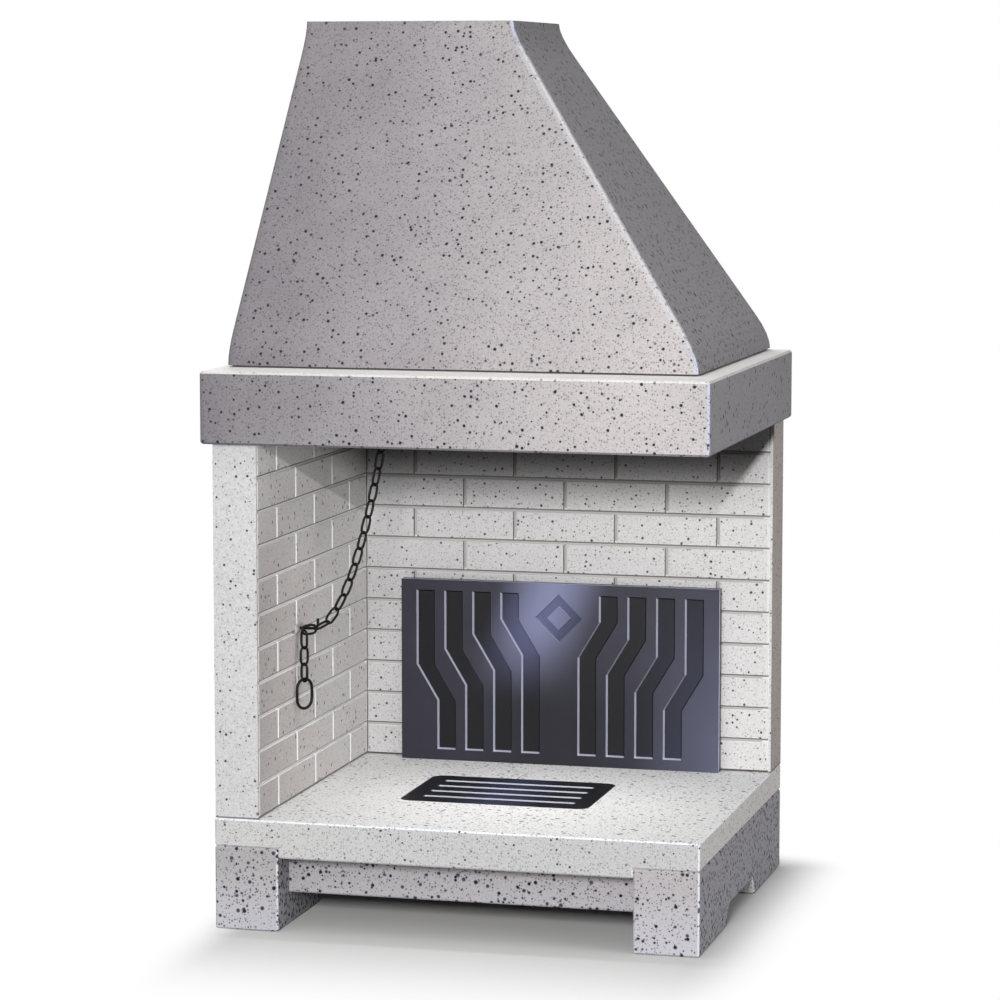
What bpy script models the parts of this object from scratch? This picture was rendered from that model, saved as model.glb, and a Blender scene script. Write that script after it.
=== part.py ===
"""Corner fireplace in speckled cast cement.

A hearth slab on two notched supports carries a brick-faced wall on the left and one
at the back. A mantel ring rests on the walls and carries a lopsided pyramid hood. In
the hood a steel funnel leads to a throat with a butterfly damper, whose slotted lever
is held by a chain that hooks onto a pin in the left wall.

Metres, Z up. The origin is on the floor, in the middle of the mantel's outline. The
front (-Y) and the right side (+X) are open.
"""
import math

import bmesh
import bpy
from mathutils import Matrix, Vector

# Fits and fineness
SEAT = 0.0003            # clearance between a piece and the one it rests on
OVERRUN = 0.010          # how far a cutter passes the face that it cuts
ARRIS = 0.003            # chamfer along the edges of cast cement
ROUND_SIDES = 16         # sides of shafts, bushes and bores
SMALL_SIDES = 8          # sides of screws, dowels and their holes
CORNER_STEPS = 3         # chords in the arc of a rounded corner
SMOOTH_BELOW = math.radians(40)
CHAMFER_ABOVE = math.radians(50)

# Base
BASE_WIDTH = 0.955
BASE_DEPTH = 0.840
SUPPORT_WIDTH = 0.127
SUPPORT_HEIGHT = 0.1625
FOOT_LENGTH = 0.268      # front foot, from the front face to the notch
NOTCH_LENGTH = 0.292
NOTCH_HEIGHT = 0.038
NOTCH_LEAN = 0.026       # how far the notch's sides lean in
RAIL_SETBACK = 0.072
RAIL_THICKNESS = 0.045
RAIL_BOTTOM = 0.063
RAIL_TENON = 0.018       # how far a rail's end sits in its support
TENON_FIT = 0.0005

# Hearth slab and what hangs in it
SLAB_THICKNESS = 0.0545
SLAB_KEY_DROP = 0.0185   # how far the slab hangs down between the supports
GRATE_WIDTH = 0.382
GRATE_DEPTH = 0.269
GRATE_FROM_LEFT = 0.293
GRATE_SETBACK = 0.263
GRATE_CORNER = 0.020
GRATE_THICKNESS = 0.012
GRATE_FIT = 0.0015       # gap all round the grate
GRATE_REBATE = 0.016     # width of the ledge that carries the grate
GRATE_SLOTS = 4
SLOT_WIDTH = 0.014
SLOT_END_MARGIN = 0.034
BOX_SHEET = 0.002
BOX_DROP = 0.125         # depth of the ash box under its flange
PAN_FIT = 0.006
PAN_HEIGHT = 0.060
PAN_SHEET = 0.002
GRIP_LENGTH = 0.080
GRIP_RISE = 0.012        # height of a grip above the pan's rim
GRIP_WIRE = 0.005

# Walls
LEFT_WALL_THICKNESS = 0.087
BACK_WALL_THICKNESS = 0.112
LEFT_WALL_SETBACK = 0.006
WALL_HEIGHT = 0.727
COURSES = 11
LEFT_BRICKS = 3
BACK_BRICKS = 4
BRICK_JOINT = 0.006
JOINT_DEPTH = 0.005
BRICK_CHAMFER = 0.0015
BRICK_ROOT = 0.003       # how far a brick is sunk into the wall behind it
END_STRIP = 0.006        # plain strip along each wall's free end
DOWEL_DIAMETER = 0.012
DOWEL_DEPTH = 0.035      # depth of each dowel in either piece
DOWEL_FROM_END = 0.120

# Fireback
FIREBACK_WIDTH = 0.678
FIREBACK_HEIGHT = 0.381
FIREBACK_THICKNESS = 0.020
FIREBACK_FROM_LEFT = 0.173
BOSS_RADIUS = 0.016
BOSS_HEIGHT = 0.010
BOSS_FROM_EDGE = 0.050
PIN_DIAMETER = 0.008
PIN_IN_WALL = 0.030
PIN_IN_PLATE = 0.010
RELIEF_DEPTH = 0.006
RELIEF_DRAFT = 0.003
RELIEF_BORDER = 0.022
CHANNELS = 4             # on each side of the middle rib
CHANNEL_WIDTH = 0.040
CHANNEL_STEP = 0.045     # how far a channel's lower half stands inside its upper half
STEP_HEIGHT = 0.075
STEP_STAGGER = 0.034     # each channel steps this much lower than its inner neighbour
MIDDLE_RIB = 0.060
LOZENGE_WIDTH = 0.100
LOZENGE_HEIGHT = 0.100
LOZENGE_INNER_SHARE = 0.5

# Mantel
MANTEL_HEIGHT = 0.139
MANTEL_SIDE_OVERHANG = 0.018
MANTEL_FRONT_OVERHANG = 0.020
MANTEL_FRONT_BEAM = 0.180
MANTEL_RIGHT_BEAM = 0.118
MANTEL_CORNER = 0.010
MANTEL_ARRIS = 0.004

# Hood
HOOD_HEIGHT = 0.664
HOOD_WALL = 0.035
HOOD_CORNER = 0.014
HOOD_LEFT = -0.002        # places of the hood's foot, from the base's left and front
HOOD_RIGHT = 0.928
HOOD_FRONT = 0.096
NECK_LEFT = 0.049
NECK_RIGHT = 0.479
NECK_DEPTH = 0.392       # from the hood's rear, like the flue's place below
SKIRT_HEIGHT = 0.068
NECK_HEIGHT = 0.072
SKIRT_SHARE = 0.067      # share of the way from foot to neck covered by the skirt
NECK_SHARE = 0.919       # and reached where the neck begins
CURVE_STEPS = 4
GASKET_THICKNESS = 0.003
GASKET_WIDTH = 0.020
GASKET_INSET = 0.007

# Smoke path
SHEET = 0.003
FLANGE_WIDTH = 0.015
FUNNEL_SKIN = 0.005      # level thickness of the funnel's sloping sheets
FUNNEL_HEIGHT = 0.200
FUNNEL_NECK = 0.018      # upright part below the funnel's upper flange
THROAT_WIDTH = 0.340
THROAT_DEPTH = 0.220
THROAT_FROM_LEFT = 0.096
THROAT_BEHIND = 0.030    # from the throat back to the line of the back wall's face
THROAT_WALL = 0.020
THROAT_HEIGHT = 0.040
CHAMBER_BELOW_TOP = 0.0967  # from the hood's top down to the chamber's rim
CHAMBER_STRAIGHT = 0.095  # upright part, in which the open flap stands
FLUE_DIAMETER = 0.200
FLUE_FROM_LEFT = 0.266
FLUE_FROM_REAR = 0.198
COLLAR_LAP = 0.050       # how far the collar sits inside the chamber's ring
COLLAR_BELOW_NECK = 0.004
SECTION_QUARTER = 6      # points in each quarter of the square-to-round piece
SCREW_DIAMETER = 0.005
SCREW_HEAD_HEIGHT = 0.004
SCREW_DEPTH = 0.020
COLLAR_BEAD = 0.006      # ring round the collar that rests on the chamber

# Damper
SHAFT_DIAMETER = 0.012
BUSH_WALL = 0.003
BUSH_FLANGE = 0.004
TURNING_FIT = 0.0005     # radial gap of a turning shaft
FLAP_THICKNESS = 0.004
FLAP_GAP = 0.004         # between the flap and the throat
SWING = math.radians(74)  # from shut to open
STOP_LENGTH = 0.014      # lugs on the throat's rear wall that the shut flap rests on
STOP_REACH = 0.008
STOP_HEIGHT = 0.006
STOP_SHARES = (0.22, 0.78)
LEVER_RADIUS = 0.130     # from the shaft to the shackle
LEVER_FROM_LEFT = 0.250
LEVER_THICKNESS = 0.005
LEVER_WIDTH = 0.034
HUB_WALL = 0.005
HUB_LENGTH = 0.024
GRUB_DIAMETER = 0.004
GRUB_HEAD = 0.003        # how far the grub screw stands out of the hub
LEVER_SLOT_WIDTH = 0.018
LEVER_TIP = 0.010        # metal beyond the slot's outer end
LEVER_END_STEPS = 6
WEIGHT_LENGTH = 0.200
WEIGHT_SIDE = 0.016
WEIGHT_FROM_EDGE = 0.012
BOLT_DIAMETER = 0.005
BOLT_HEAD = 0.0045       # radius of bolt heads and nuts
BOLT_HEAD_HEIGHT = 0.004
BOLT_FROM_END = 0.060

# Chain
PIN_FROM_LEFT = 0.110    # where the chain's hooked link crosses the wall pin
PIN_FROM_REAR = 0.5814
PIN_HEIGHT = 0.5544
HOOK_PIN_DIAMETER = 0.006
HOOK_REACH = 0.042
HOOK_TIP = 0.014
HOOK_PLATE_WIDTH = 0.042
HOOK_PLATE_HEIGHT = 0.016
HOOK_SCREW_SPACING = 0.028
HOOK_PLATE_THICKNESS = 0.004
LINK_PITCH = 0.033
LINK_WIDTH = 0.023
LINK_WIRE = 0.0052
LINK_FIT = 0.0006        # play between two pieces of the chain
LINK_JOIN = 0.0008       # how far the links within one piece sink into each other
BOW_STEPS = 4
RING_STEPS = 8
WIRE_SIDES = 6
SAG_LENGTH = 0.250       # the longer, the straighter the chain hangs
SHACKLE_LEAST = 0.072
SHACKLE_WIRE = 0.005
SHACKLE_WIDTH = 0.024
SHACKLE_PLAY = 0.0009
TAIL_LINKS = 3
TAIL_OFFSET = 0.012      # from the wall pin to the tail's first wire
RING_WIDTH = 0.044
RING_LENGTH = 0.066
RING_WIRE = 0.006

# Places worked out from the sizes
LEFT = -BASE_WIDTH / 2
RIGHT = BASE_WIDTH / 2
FRONT = (MANTEL_FRONT_OVERHANG - BASE_DEPTH) / 2
REAR = FRONT + BASE_DEPTH
SLAB_TOP = SUPPORT_HEIGHT + SLAB_THICKNESS
KEY_BOTTOM = SUPPORT_HEIGHT - SLAB_KEY_DROP
MANTEL_BOTTOM = SLAB_TOP + WALL_HEIGHT
MANTEL_TOP = MANTEL_BOTTOM + MANTEL_HEIGHT
INNER_X = LEFT + LEFT_WALL_THICKNESS
INNER_Y = REAR - BACK_WALL_THICKNESS
MOUTH_RIGHT = RIGHT - MANTEL_RIGHT_BEAM
MOUTH_FRONT = FRONT + MANTEL_FRONT_BEAM
HOOD_BOTTOM = MANTEL_TOP + GASKET_THICKNESS + 2 * SEAT
HOOD_TOP = HOOD_BOTTOM + HOOD_HEIGHT
GRATE_LEFT = LEFT + GRATE_FROM_LEFT
GRATE_RIGHT = GRATE_LEFT + GRATE_WIDTH
GRATE_FRONT = FRONT + GRATE_SETBACK
GRATE_REAR = GRATE_FRONT + GRATE_DEPTH
GRATE_BOTTOM = SLAB_TOP - GRATE_THICKNESS
FLANGE_BOTTOM = GRATE_BOTTOM - SEAT - BOX_SHEET
FUNNEL_TOP = MANTEL_TOP + SEAT + FUNNEL_HEIGHT
THROAT_BOTTOM = FUNNEL_TOP + SEAT
THROAT_TOP = THROAT_BOTTOM + THROAT_HEIGHT
THROAT_LEFT = LEFT + THROAT_FROM_LEFT
THROAT_RIGHT = THROAT_LEFT + THROAT_WIDTH
THROAT_REAR = INNER_Y - THROAT_BEHIND
THROAT_FRONT = THROAT_REAR - THROAT_DEPTH
FLUE = Vector((LEFT + FLUE_FROM_LEFT, REAR - FLUE_FROM_REAR, 0))
CHAMBER_BOTTOM = THROAT_TOP + SEAT
CHAMBER_TOP = HOOD_TOP - CHAMBER_BELOW_TOP
SHAFT_RADIUS = SHAFT_DIAMETER / 2
BUSH_RADIUS = SHAFT_RADIUS + TURNING_FIT + BUSH_WALL
SHAFT = Vector(((THROAT_LEFT + THROAT_RIGHT) / 2, (THROAT_FRONT + THROAT_REAR) / 2,
                (THROAT_BOTTOM + THROAT_TOP) / 2))
HOOK = Vector((LEFT + PIN_FROM_LEFT, REAR - PIN_FROM_REAR, PIN_HEIGHT))
X_AXIS = Vector((1, 0, 0))
Y_AXIS = Vector((0, 1, 0))
Z_AXIS = Vector((0, 0, 1))


# Building blocks

def clear_scene():
    for item in list(bpy.data.objects):
        bpy.data.objects.remove(item, do_unlink=True)


def material(name, colour, roughness, metallic=0.0):
    made = bpy.data.materials.get(name) or bpy.data.materials.new(name)
    made.use_nodes = True
    shader = made.node_tree.nodes["Principled BSDF"]
    shader.inputs["Base Color"].default_value = (*colour, 1)
    shader.inputs["Roughness"].default_value = roughness
    shader.inputs["Metallic"].default_value = metallic
    return made


def mesh_from(name, bm, surface, smooth):
    bmesh.ops.recalc_face_normals(bm, faces=bm.faces)
    mesh = bpy.data.meshes.new(name)
    bm.to_mesh(mesh)
    bm.free()
    mesh.materials.append(surface)
    if smooth:
        mesh.shade_smooth()
        mesh.set_sharp_from_angle(angle=SMOOTH_BELOW)
    return mesh


def place_mesh(name, mesh, place, parent=None):
    """Puts a mesh at a world place, as a child of the piece that carries it."""
    made = bpy.data.objects.new(name, mesh)
    made.location = place
    if parent:
        made.parent = parent
        made.location = place - parent.location
    bpy.context.collection.objects.link(made)
    return made


def make(name, bm, surface, pivot=None, smooth=False):
    """Turns a mesh in world places into an object whose origin is the pivot."""
    pivot = Vector(pivot) if pivot is not None else Vector()
    bmesh.ops.translate(bm, verts=bm.verts, vec=-pivot)
    return place_mesh(name, mesh_from(name, bm, surface, smooth), pivot)


def make_copies(name, bm, surface, places, parent=None):
    """Equal pieces that share one mesh, which is modelled round its own origin."""
    mesh = mesh_from(name, bm, surface, True)
    for k, place in enumerate(places):
        place_mesh(f"{name}_{k + 1}", mesh, place, parent)


def loft(bm, rings, loop=False):
    """Skins rings of equally many points; a loop joins the last ring to the first."""
    rows = [[bm.verts.new(point) for point in ring] for ring in rings]
    count = len(rows[0])
    pairs = list(zip(rows, rows[1:]))
    if loop:
        pairs.append((rows[-1], rows[0]))
    for lower, upper in pairs:
        for i in range(count):
            j = (i + 1) % count
            bm.faces.new((lower[i], lower[j], upper[j], upper[i]))
    if not loop:
        bm.faces.new(rows[0])
        bm.faces.new(rows[-1])


def box(bm, x0, x1, y0, y1, z0, z1):
    loft(bm, [[(x0, y0, z), (x1, y0, z), (x1, y1, z), (x0, y1, z)] for z in (z0, z1)])


def rounded_ring(x0, x1, y0, y1, z, radius):
    """A level rectangle with round corners, counter-clockwise from the rear right."""
    points = []
    corners = ((x1, y1, 0), (x0, y1, 1), (x0, y0, 2), (x1, y0, 3))
    for cx, cy, quarter in corners:
        inward_x = -1 if cx == x1 else 1
        inward_y = -1 if cy == y1 else 1
        for step in range(CORNER_STEPS + 1):
            angle = math.pi / 2 * (quarter + step / CORNER_STEPS)
            points.append((cx + radius * (inward_x + math.cos(angle)),
                           cy + radius * (inward_y + math.sin(angle)), z))
    return points


def circle(centre, axis, radius, sides):
    """A ring of points round an axis, the first one square to it."""
    turn = Vector(axis).to_track_quat("Z", "Y")
    half = math.pi / sides
    return [Vector(centre) + turn @ Vector((radius * math.cos(2 * math.pi * i / sides + half),
                                            radius * math.sin(2 * math.pi * i / sides + half), 0))
            for i in range(sides)]


def rod(bm, start, end, radius, sides=ROUND_SIDES, bore=None):
    """A round bar, or a tube where a bore's radius is given."""
    start, end = Vector(start), Vector(end)
    axis = end - start
    rings = [circle(start, axis, radius, sides), circle(end, axis, radius, sides)]
    if bore is None:
        loft(bm, rings)
    else:
        rings += [circle(end, axis, bore, sides), circle(start, axis, bore, sides)]
        loft(bm, rings, loop=True)


def wire_link(bm, frame, half_length, half_width, wire, bow_steps=BOW_STEPS):
    """An oval link of round wire: long along the frame's X, wide along its Y."""
    straight = half_length - half_width
    rings = []
    for end, first in ((1, -math.pi / 2), (-1, math.pi / 2)):
        for step in range(bow_steps + 1):
            angle = first + math.pi * step / bow_steps
            out = Vector((math.cos(angle), math.sin(angle), 0))
            centre = Vector((end * straight, 0, 0)) + out * half_width
            ring = []
            for side in range(WIRE_SIDES):
                around = 2 * math.pi * side / WIRE_SIDES
                ring.append(frame @ (centre + wire / 2 * (out * math.cos(around)
                                                          + Z_AXIS * math.sin(around))))
            rings.append(ring)
    loft(bm, rings, loop=True)


def boolean(target, cutter, operation="DIFFERENCE"):
    """Applies a cutter that is hidden from renders and drawn as wire."""
    cutter.hide_render = True
    cutter.display_type = "WIRE"
    step = target.modifiers.new(cutter.name, "BOOLEAN")
    step.operation = operation
    step.solver = "EXACT"
    step.object = cutter
    return step


def cutter_from(name, bm):
    return make(name, bm, CUTTER)


def chamfer(target, width):
    step = target.modifiers.new("Arris", "BEVEL")
    step.width = width
    step.segments = 1
    step.limit_method = "ANGLE"
    step.angle_limit = CHAMFER_ABOVE
    return step


def bore_holes(name, target, places, axis, radius, depth_before, depth_behind, sides=SMALL_SIDES):
    """Drills equal holes along an axis through each place."""
    bm = bmesh.new()
    for place in places:
        rod(bm, place - axis * depth_before, place + axis * depth_behind, radius, sides)
    boolean(target, cutter_from(name, bm))


def stepped_rod(bm, start, axis, steps, sides=SMALL_SIDES, bore=None):
    """A turned piece: radii at distances along an axis, solid or round a bore."""
    start, axis = Vector(start), Vector(axis)
    rings = [circle(start + axis * along, axis, radius, sides) for along, radius in steps]
    if bore is None:
        loft(bm, rings)
    else:
        for along in (steps[-1][0], steps[0][0]):
            rings.append(circle(start + axis * along, axis, bore, sides))
        loft(bm, rings, loop=True)


def double_headed(bm, radius, low, high):
    """A bolt along Z whose head and nut bear at the two heights."""
    stepped_rod(bm, Vector(), Z_AXIS,
                [(low - BOLT_HEAD_HEIGHT, BOLT_HEAD), (low, BOLT_HEAD), (low, radius),
                 (high, radius), (high, BOLT_HEAD), (high + BOLT_HEAD_HEIGHT, BOLT_HEAD)])


def bent_rod(bm, points, flat, radius, sides=SMALL_SIDES):
    """A round rod along a flat path with mitred bends; flat is the path's normal."""
    points = [Vector(p) for p in points]
    flat = Vector(flat).normalized()
    rings = []
    for i, point in enumerate(points):
        before = (point - points[i - 1]).normalized() if i else None
        after = (points[i + 1] - point).normalized() if i + 1 < len(points) else None
        before, after = before or after, after or before
        along = (before + after).normalized()
        across = flat.cross(along) / along.dot(before)
        rings.append([point + radius * (across * math.cos(2 * math.pi * k / sides)
                                        + flat * math.sin(2 * math.pi * k / sides))
                      for k in range(sides)])
    loft(bm, rings)


def grown(outline, by):
    """A rectangle (x0, x1, y0, y1) made larger on every side."""
    x0, x1, y0, y1 = outline
    return (x0 - by, x1 + by, y0 - by, y1 + by)


def corner_places(outline, z):
    x0, x1, y0, y1 = outline
    return [Vector((x, y, z)) for x in (x0, x1) for y in (y0, y1)]


def blend(a, b, share):
    return tuple(p + (q - p) * share for p, q in zip(a, b))


# Base

RAIL_PLACES = (FRONT + RAIL_SETBACK, REAR - RAIL_SETBACK - RAIL_THICKNESS)


def build_support(name, x0, x1, inner_x, inward):
    notch_end = FRONT + FOOT_LENGTH + NOTCH_LENGTH
    profile = [(FRONT, 0), (FRONT + FOOT_LENGTH, 0),
               (FRONT + FOOT_LENGTH + NOTCH_LEAN, NOTCH_HEIGHT),
               (notch_end - NOTCH_LEAN, NOTCH_HEIGHT), (notch_end, 0),
               (REAR, 0), (REAR, SUPPORT_HEIGHT), (FRONT, SUPPORT_HEIGHT)]
    bm = bmesh.new()
    loft(bm, [[(x, y, z) for y, z in profile] for x in (x0, x1)])
    support = make(name, bm, SUPPORT_CEMENT)
    chamfer(support, ARRIS)
    for k, y in enumerate(RAIL_PLACES):
        bm = bmesh.new()
        ends = sorted((inner_x - inward * (RAIL_TENON + TENON_FIT), inner_x + inward * OVERRUN))
        box(bm, *ends, y - TENON_FIT, y + RAIL_THICKNESS + TENON_FIT,
            RAIL_BOTTOM - SEAT, SUPPORT_HEIGHT + OVERRUN)
        boolean(support, cutter_from(f"{name}_mortise_{k}", bm))
    return support


def build_base():
    build_support("base_support_left", LEFT, LEFT + SUPPORT_WIDTH, LEFT + SUPPORT_WIDTH, 1)
    build_support("base_support_right", RIGHT - SUPPORT_WIDTH, RIGHT, RIGHT - SUPPORT_WIDTH, -1)
    reach = BASE_WIDTH / 2 - SUPPORT_WIDTH + RAIL_TENON
    for name, y in zip(("base_front_rail", "base_rear_rail"), RAIL_PLACES):
        bm = bmesh.new()
        box(bm, -reach, reach, y, y + RAIL_THICKNESS, RAIL_BOTTOM, KEY_BOTTOM - SEAT)
        chamfer(make(name, bm, SUPPORT_CEMENT), ARRIS)


# Hearth

GRATE_OUTLINE = (GRATE_LEFT, GRATE_RIGHT, GRATE_FRONT, GRATE_REAR)


def hearth_ring(by, z):
    """The grate's outline, grown or drawn in, with its corners following."""
    return rounded_ring(*grown(GRATE_OUTLINE, by), z, max(GRATE_CORNER + by, SEAT))


def build_slab():
    key = BASE_WIDTH / 2 - SUPPORT_WIDTH - SEAT
    seat = SUPPORT_HEIGHT + SEAT
    profile = [(LEFT, seat), (-key, seat), (-key, KEY_BOTTOM), (key, KEY_BOTTOM),
               (key, seat), (RIGHT, seat), (RIGHT, SLAB_TOP), (LEFT, SLAB_TOP)]
    bm = bmesh.new()
    loft(bm, [[(x, y, z) for x, z in profile] for y in (FRONT, REAR)])
    slab = make("hearth_slab", bm, HEARTH_CEMENT)
    chamfer(slab, ARRIS)
    bm = bmesh.new()
    loft(bm, [hearth_ring(GRATE_FIT, z) for z in (FLANGE_BOTTOM - SEAT, SLAB_TOP + OVERRUN)])
    boolean(slab, cutter_from("grate_recess", bm))
    bm = bmesh.new()
    loft(bm, [hearth_ring(-GRATE_REBATE, z) for z in (KEY_BOTTOM - OVERRUN, GRATE_BOTTOM)])
    boolean(slab, cutter_from("ash_hole", bm))
    bore_holes("slab_dowel_holes", slab, dowel_places(SLAB_TOP), Z_AXIS,
               DOWEL_DIAMETER / 2 + TENON_FIT, DOWEL_DEPTH + SEAT, OVERRUN)


def build_grate():
    bm = bmesh.new()
    loft(bm, [hearth_ring(0, z) for z in (GRATE_BOTTOM, SLAB_TOP)])
    grate = make("ash_grate", bm, CAST_IRON)
    pitch = GRATE_DEPTH / (GRATE_SLOTS + 1)
    bm = bmesh.new()
    for k in range(GRATE_SLOTS):
        middle = GRATE_FRONT + pitch * (k + 1)
        loft(bm, [rounded_ring(GRATE_LEFT + SLOT_END_MARGIN, GRATE_RIGHT - SLOT_END_MARGIN,
                               middle - SLOT_WIDTH / 2, middle + SLOT_WIDTH / 2, z,
                               SLOT_WIDTH / 2 - SEAT)
                  for z in (GRATE_BOTTOM - OVERRUN, SLAB_TOP + OVERRUN)])
    boolean(grate, cutter_from("grate_slots", bm))


def build_ash_box():
    tub = -GRATE_REBATE - GRATE_FIT
    floor = FLANGE_BOTTOM - BOX_DROP
    flange_top = FLANGE_BOTTOM + BOX_SHEET
    bm = bmesh.new()
    loft(bm, [hearth_ring(tub - BOX_SHEET, floor + BOX_SHEET), hearth_ring(tub - BOX_SHEET, flange_top),
              hearth_ring(0, flange_top), hearth_ring(0, FLANGE_BOTTOM),
              hearth_ring(tub, FLANGE_BOTTOM), hearth_ring(tub, floor)])
    make("ash_box", bm, SHEET_STEEL)
    pan = tub - BOX_SHEET - PAN_FIT
    bottom = floor + BOX_SHEET + SEAT
    bm = bmesh.new()
    loft(bm, [hearth_ring(pan - PAN_SHEET, bottom + PAN_SHEET),
              hearth_ring(pan - PAN_SHEET, bottom + PAN_HEIGHT),
              hearth_ring(pan, bottom + PAN_HEIGHT), hearth_ring(pan, bottom)])
    make("ash_pan", bm, SHEET_STEEL)
    half = GRIP_LENGTH / 2
    foot = -PAN_HEIGHT / 2
    bm = bmesh.new()
    bent_rod(bm, [(0, -half, foot), (0, -half, GRIP_RISE), (0, half, GRIP_RISE), (0, half, foot)],
             X_AXIS, GRIP_WIRE / 2)
    inset = PAN_SHEET + SEAT + GRIP_WIRE / 2 - pan
    make_copies("ash_pan_grip", bm, SHEET_STEEL,
                [Vector((x, (GRATE_FRONT + GRATE_REAR) / 2, bottom + PAN_HEIGHT))
                 for x in (GRATE_LEFT + inset, GRATE_RIGHT - inset)])


# Walls

COURSE = WALL_HEIGHT / COURSES
WALL_BOTTOM = SLAB_TOP + SEAT
WALL_TOP = MANTEL_BOTTOM - SEAT


def brick_outlines(span, bricks, half_course):
    """Bricks of a half bond as (start, end, bottom, top), clipped to the span."""
    length = span / bricks
    for course in range(COURSES):
        shift = length / 2 if course % 2 == half_course else 0
        low = WALL_BOTTOM + course * COURSE + BRICK_JOINT / 2
        high = min(low + COURSE - BRICK_JOINT, WALL_TOP - BRICK_JOINT / 2)
        for k in range(bricks + 1):
            start = max(k * length - shift, 0)
            end = min((k + 1) * length - shift, span)
            if end - start > BRICK_JOINT * 2:
                yield start + BRICK_JOINT / 2, end - BRICK_JOINT / 2, low, high


def brick_rings(brick, place):
    """The outlines of one brick from its root in the wall to its chamfered face."""
    start, end, low, high = brick
    rings = []
    for out, inset in ((-BRICK_ROOT, 0), (JOINT_DEPTH - BRICK_CHAMFER, 0), (JOINT_DEPTH, BRICK_CHAMFER)):
        corners = ((start + inset, low + inset), (end - inset, low + inset),
                   (end - inset, high - inset), (start + inset, high - inset))
        rings.append([place(s, z, out) for s, z in corners])
    return rings


def dowel_places(z):
    left_x = LEFT + LEFT_WALL_THICKNESS / 2
    back_y = REAR - BACK_WALL_THICKNESS / 2
    return [Vector((left_x, FRONT + LEFT_WALL_SETBACK + DOWEL_FROM_END, z)),
            Vector((left_x, INNER_Y, z)),
            Vector((INNER_X + DOWEL_FROM_END, back_y, z)),
            Vector((RIGHT - DOWEL_FROM_END, back_y, z))]


def build_wall(name, plan, bricks, place, dowels):
    bm = bmesh.new()
    loft(bm, [[(x, y, z) for x, y in plan] for z in (WALL_BOTTOM, WALL_TOP)])
    wall = make(name, bm, WALL_CEMENT)
    bm = bmesh.new()
    for brick in bricks:
        loft(bm, brick_rings(brick, place))
    boolean(wall, cutter_from(f"{name}_bricks", bm), "UNION")
    radius = DOWEL_DIAMETER / 2 + TENON_FIT
    low = [p for p in dowel_places(WALL_BOTTOM) if dowels(p)]
    high = [p for p in dowel_places(WALL_TOP) if dowels(p)]
    bore_holes(f"{name}_low_holes", wall, low, Z_AXIS, radius, OVERRUN, DOWEL_DEPTH)
    bore_holes(f"{name}_high_holes", wall, high, Z_AXIS, radius, DOWEL_DEPTH, OVERRUN)
    return wall


def build_walls():
    front = FRONT + LEFT_WALL_SETBACK
    recess = INNER_X - JOINT_DEPTH
    plan = [(LEFT, front), (INNER_X, front), (INNER_X, front + END_STRIP), (recess, front + END_STRIP),
            (recess, INNER_Y), (INNER_X, INNER_Y), (INNER_X, REAR), (LEFT, REAR)]
    start = front + END_STRIP
    bricks = brick_outlines(INNER_Y - start, LEFT_BRICKS, 0)
    left = build_wall("left_wall", plan, bricks,
                      lambda s, z, out: (recess + out, start + s, z), lambda p: p.x < INNER_X)
    bore_holes("hook_screw_holes", left, hook_screw_places(INNER_X), X_AXIS,
               SCREW_DIAMETER / 2 + TENON_FIT, SCREW_DEPTH, OVERRUN)
    edge = INNER_X + SEAT
    recess_y = INNER_Y + JOINT_DEPTH
    end = RIGHT - END_STRIP
    plan = [(edge, recess_y), (end, recess_y), (end, INNER_Y), (RIGHT, INNER_Y), (RIGHT, REAR), (edge, REAR)]
    bricks = brick_outlines(end - edge, BACK_BRICKS, 1)
    back = build_wall("back_wall", plan, bricks,
                      lambda s, z, out: (edge + s, recess_y - out, z), lambda p: p.x > INNER_X)
    bore_holes("fireback_pin_holes", back, fireback_pin_places(INNER_Y), Y_AXIS,
               PIN_DIAMETER / 2 + TENON_FIT, OVERRUN, PIN_IN_WALL + SEAT)
    bm = bmesh.new()
    rod(bm, Z_AXIS * -DOWEL_DEPTH, Z_AXIS * DOWEL_DEPTH, DOWEL_DIAMETER / 2, SMALL_SIDES)
    make_copies("wall_dowel", bm, SHEET_STEEL, dowel_places(SLAB_TOP) + dowel_places(MANTEL_BOTTOM))


# Fireback

PLATE_LEFT = LEFT + FIREBACK_FROM_LEFT
PLATE_BACK = INNER_Y - BOSS_HEIGHT
PLATE_FRONT = PLATE_BACK - FIREBACK_THICKNESS
PLATE_BOTTOM = SLAB_TOP + SEAT
PLATE_TOP = PLATE_BOTTOM + FIREBACK_HEIGHT


def boss_places(y):
    edges = (PLATE_LEFT + BOSS_FROM_EDGE, PLATE_LEFT + FIREBACK_WIDTH - BOSS_FROM_EDGE)
    return [Vector((x, y, z)) for z in (PLATE_BOTTOM + BOSS_FROM_EDGE, PLATE_TOP - BOSS_FROM_EDGE)
            for x in edges]


def fireback_pin_places(y):
    return boss_places(y)[2:]


def relief_cut(name, outline, plate):
    """Cuts a recess with sloping sides; the outline is a function of its growth."""
    slope = RELIEF_DRAFT
    bm = bmesh.new()
    loft(bm, [[(x, y, z) for x, z in outline(grow)]
              for y, grow in ((PLATE_FRONT - RELIEF_DEPTH, slope), (PLATE_FRONT + RELIEF_DEPTH, -slope))])
    boolean(plate, cutter_from(name, bm))


def channel(x, side, knee, low, high):
    """The outline of a channel that runs down, steps inwards and runs on down."""
    def outline(grow):
        half = CHANNEL_WIDTH / 2 + grow
        lower = x - side * CHANNEL_STEP
        foot = knee - STEP_HEIGHT
        return [(x - half, high + grow), (x - half, knee), (lower - half, foot), (lower - half, low - grow),
                (lower + half, low - grow), (lower + half, foot), (x + half, knee), (x + half, high + grow)]
    return outline


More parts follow.
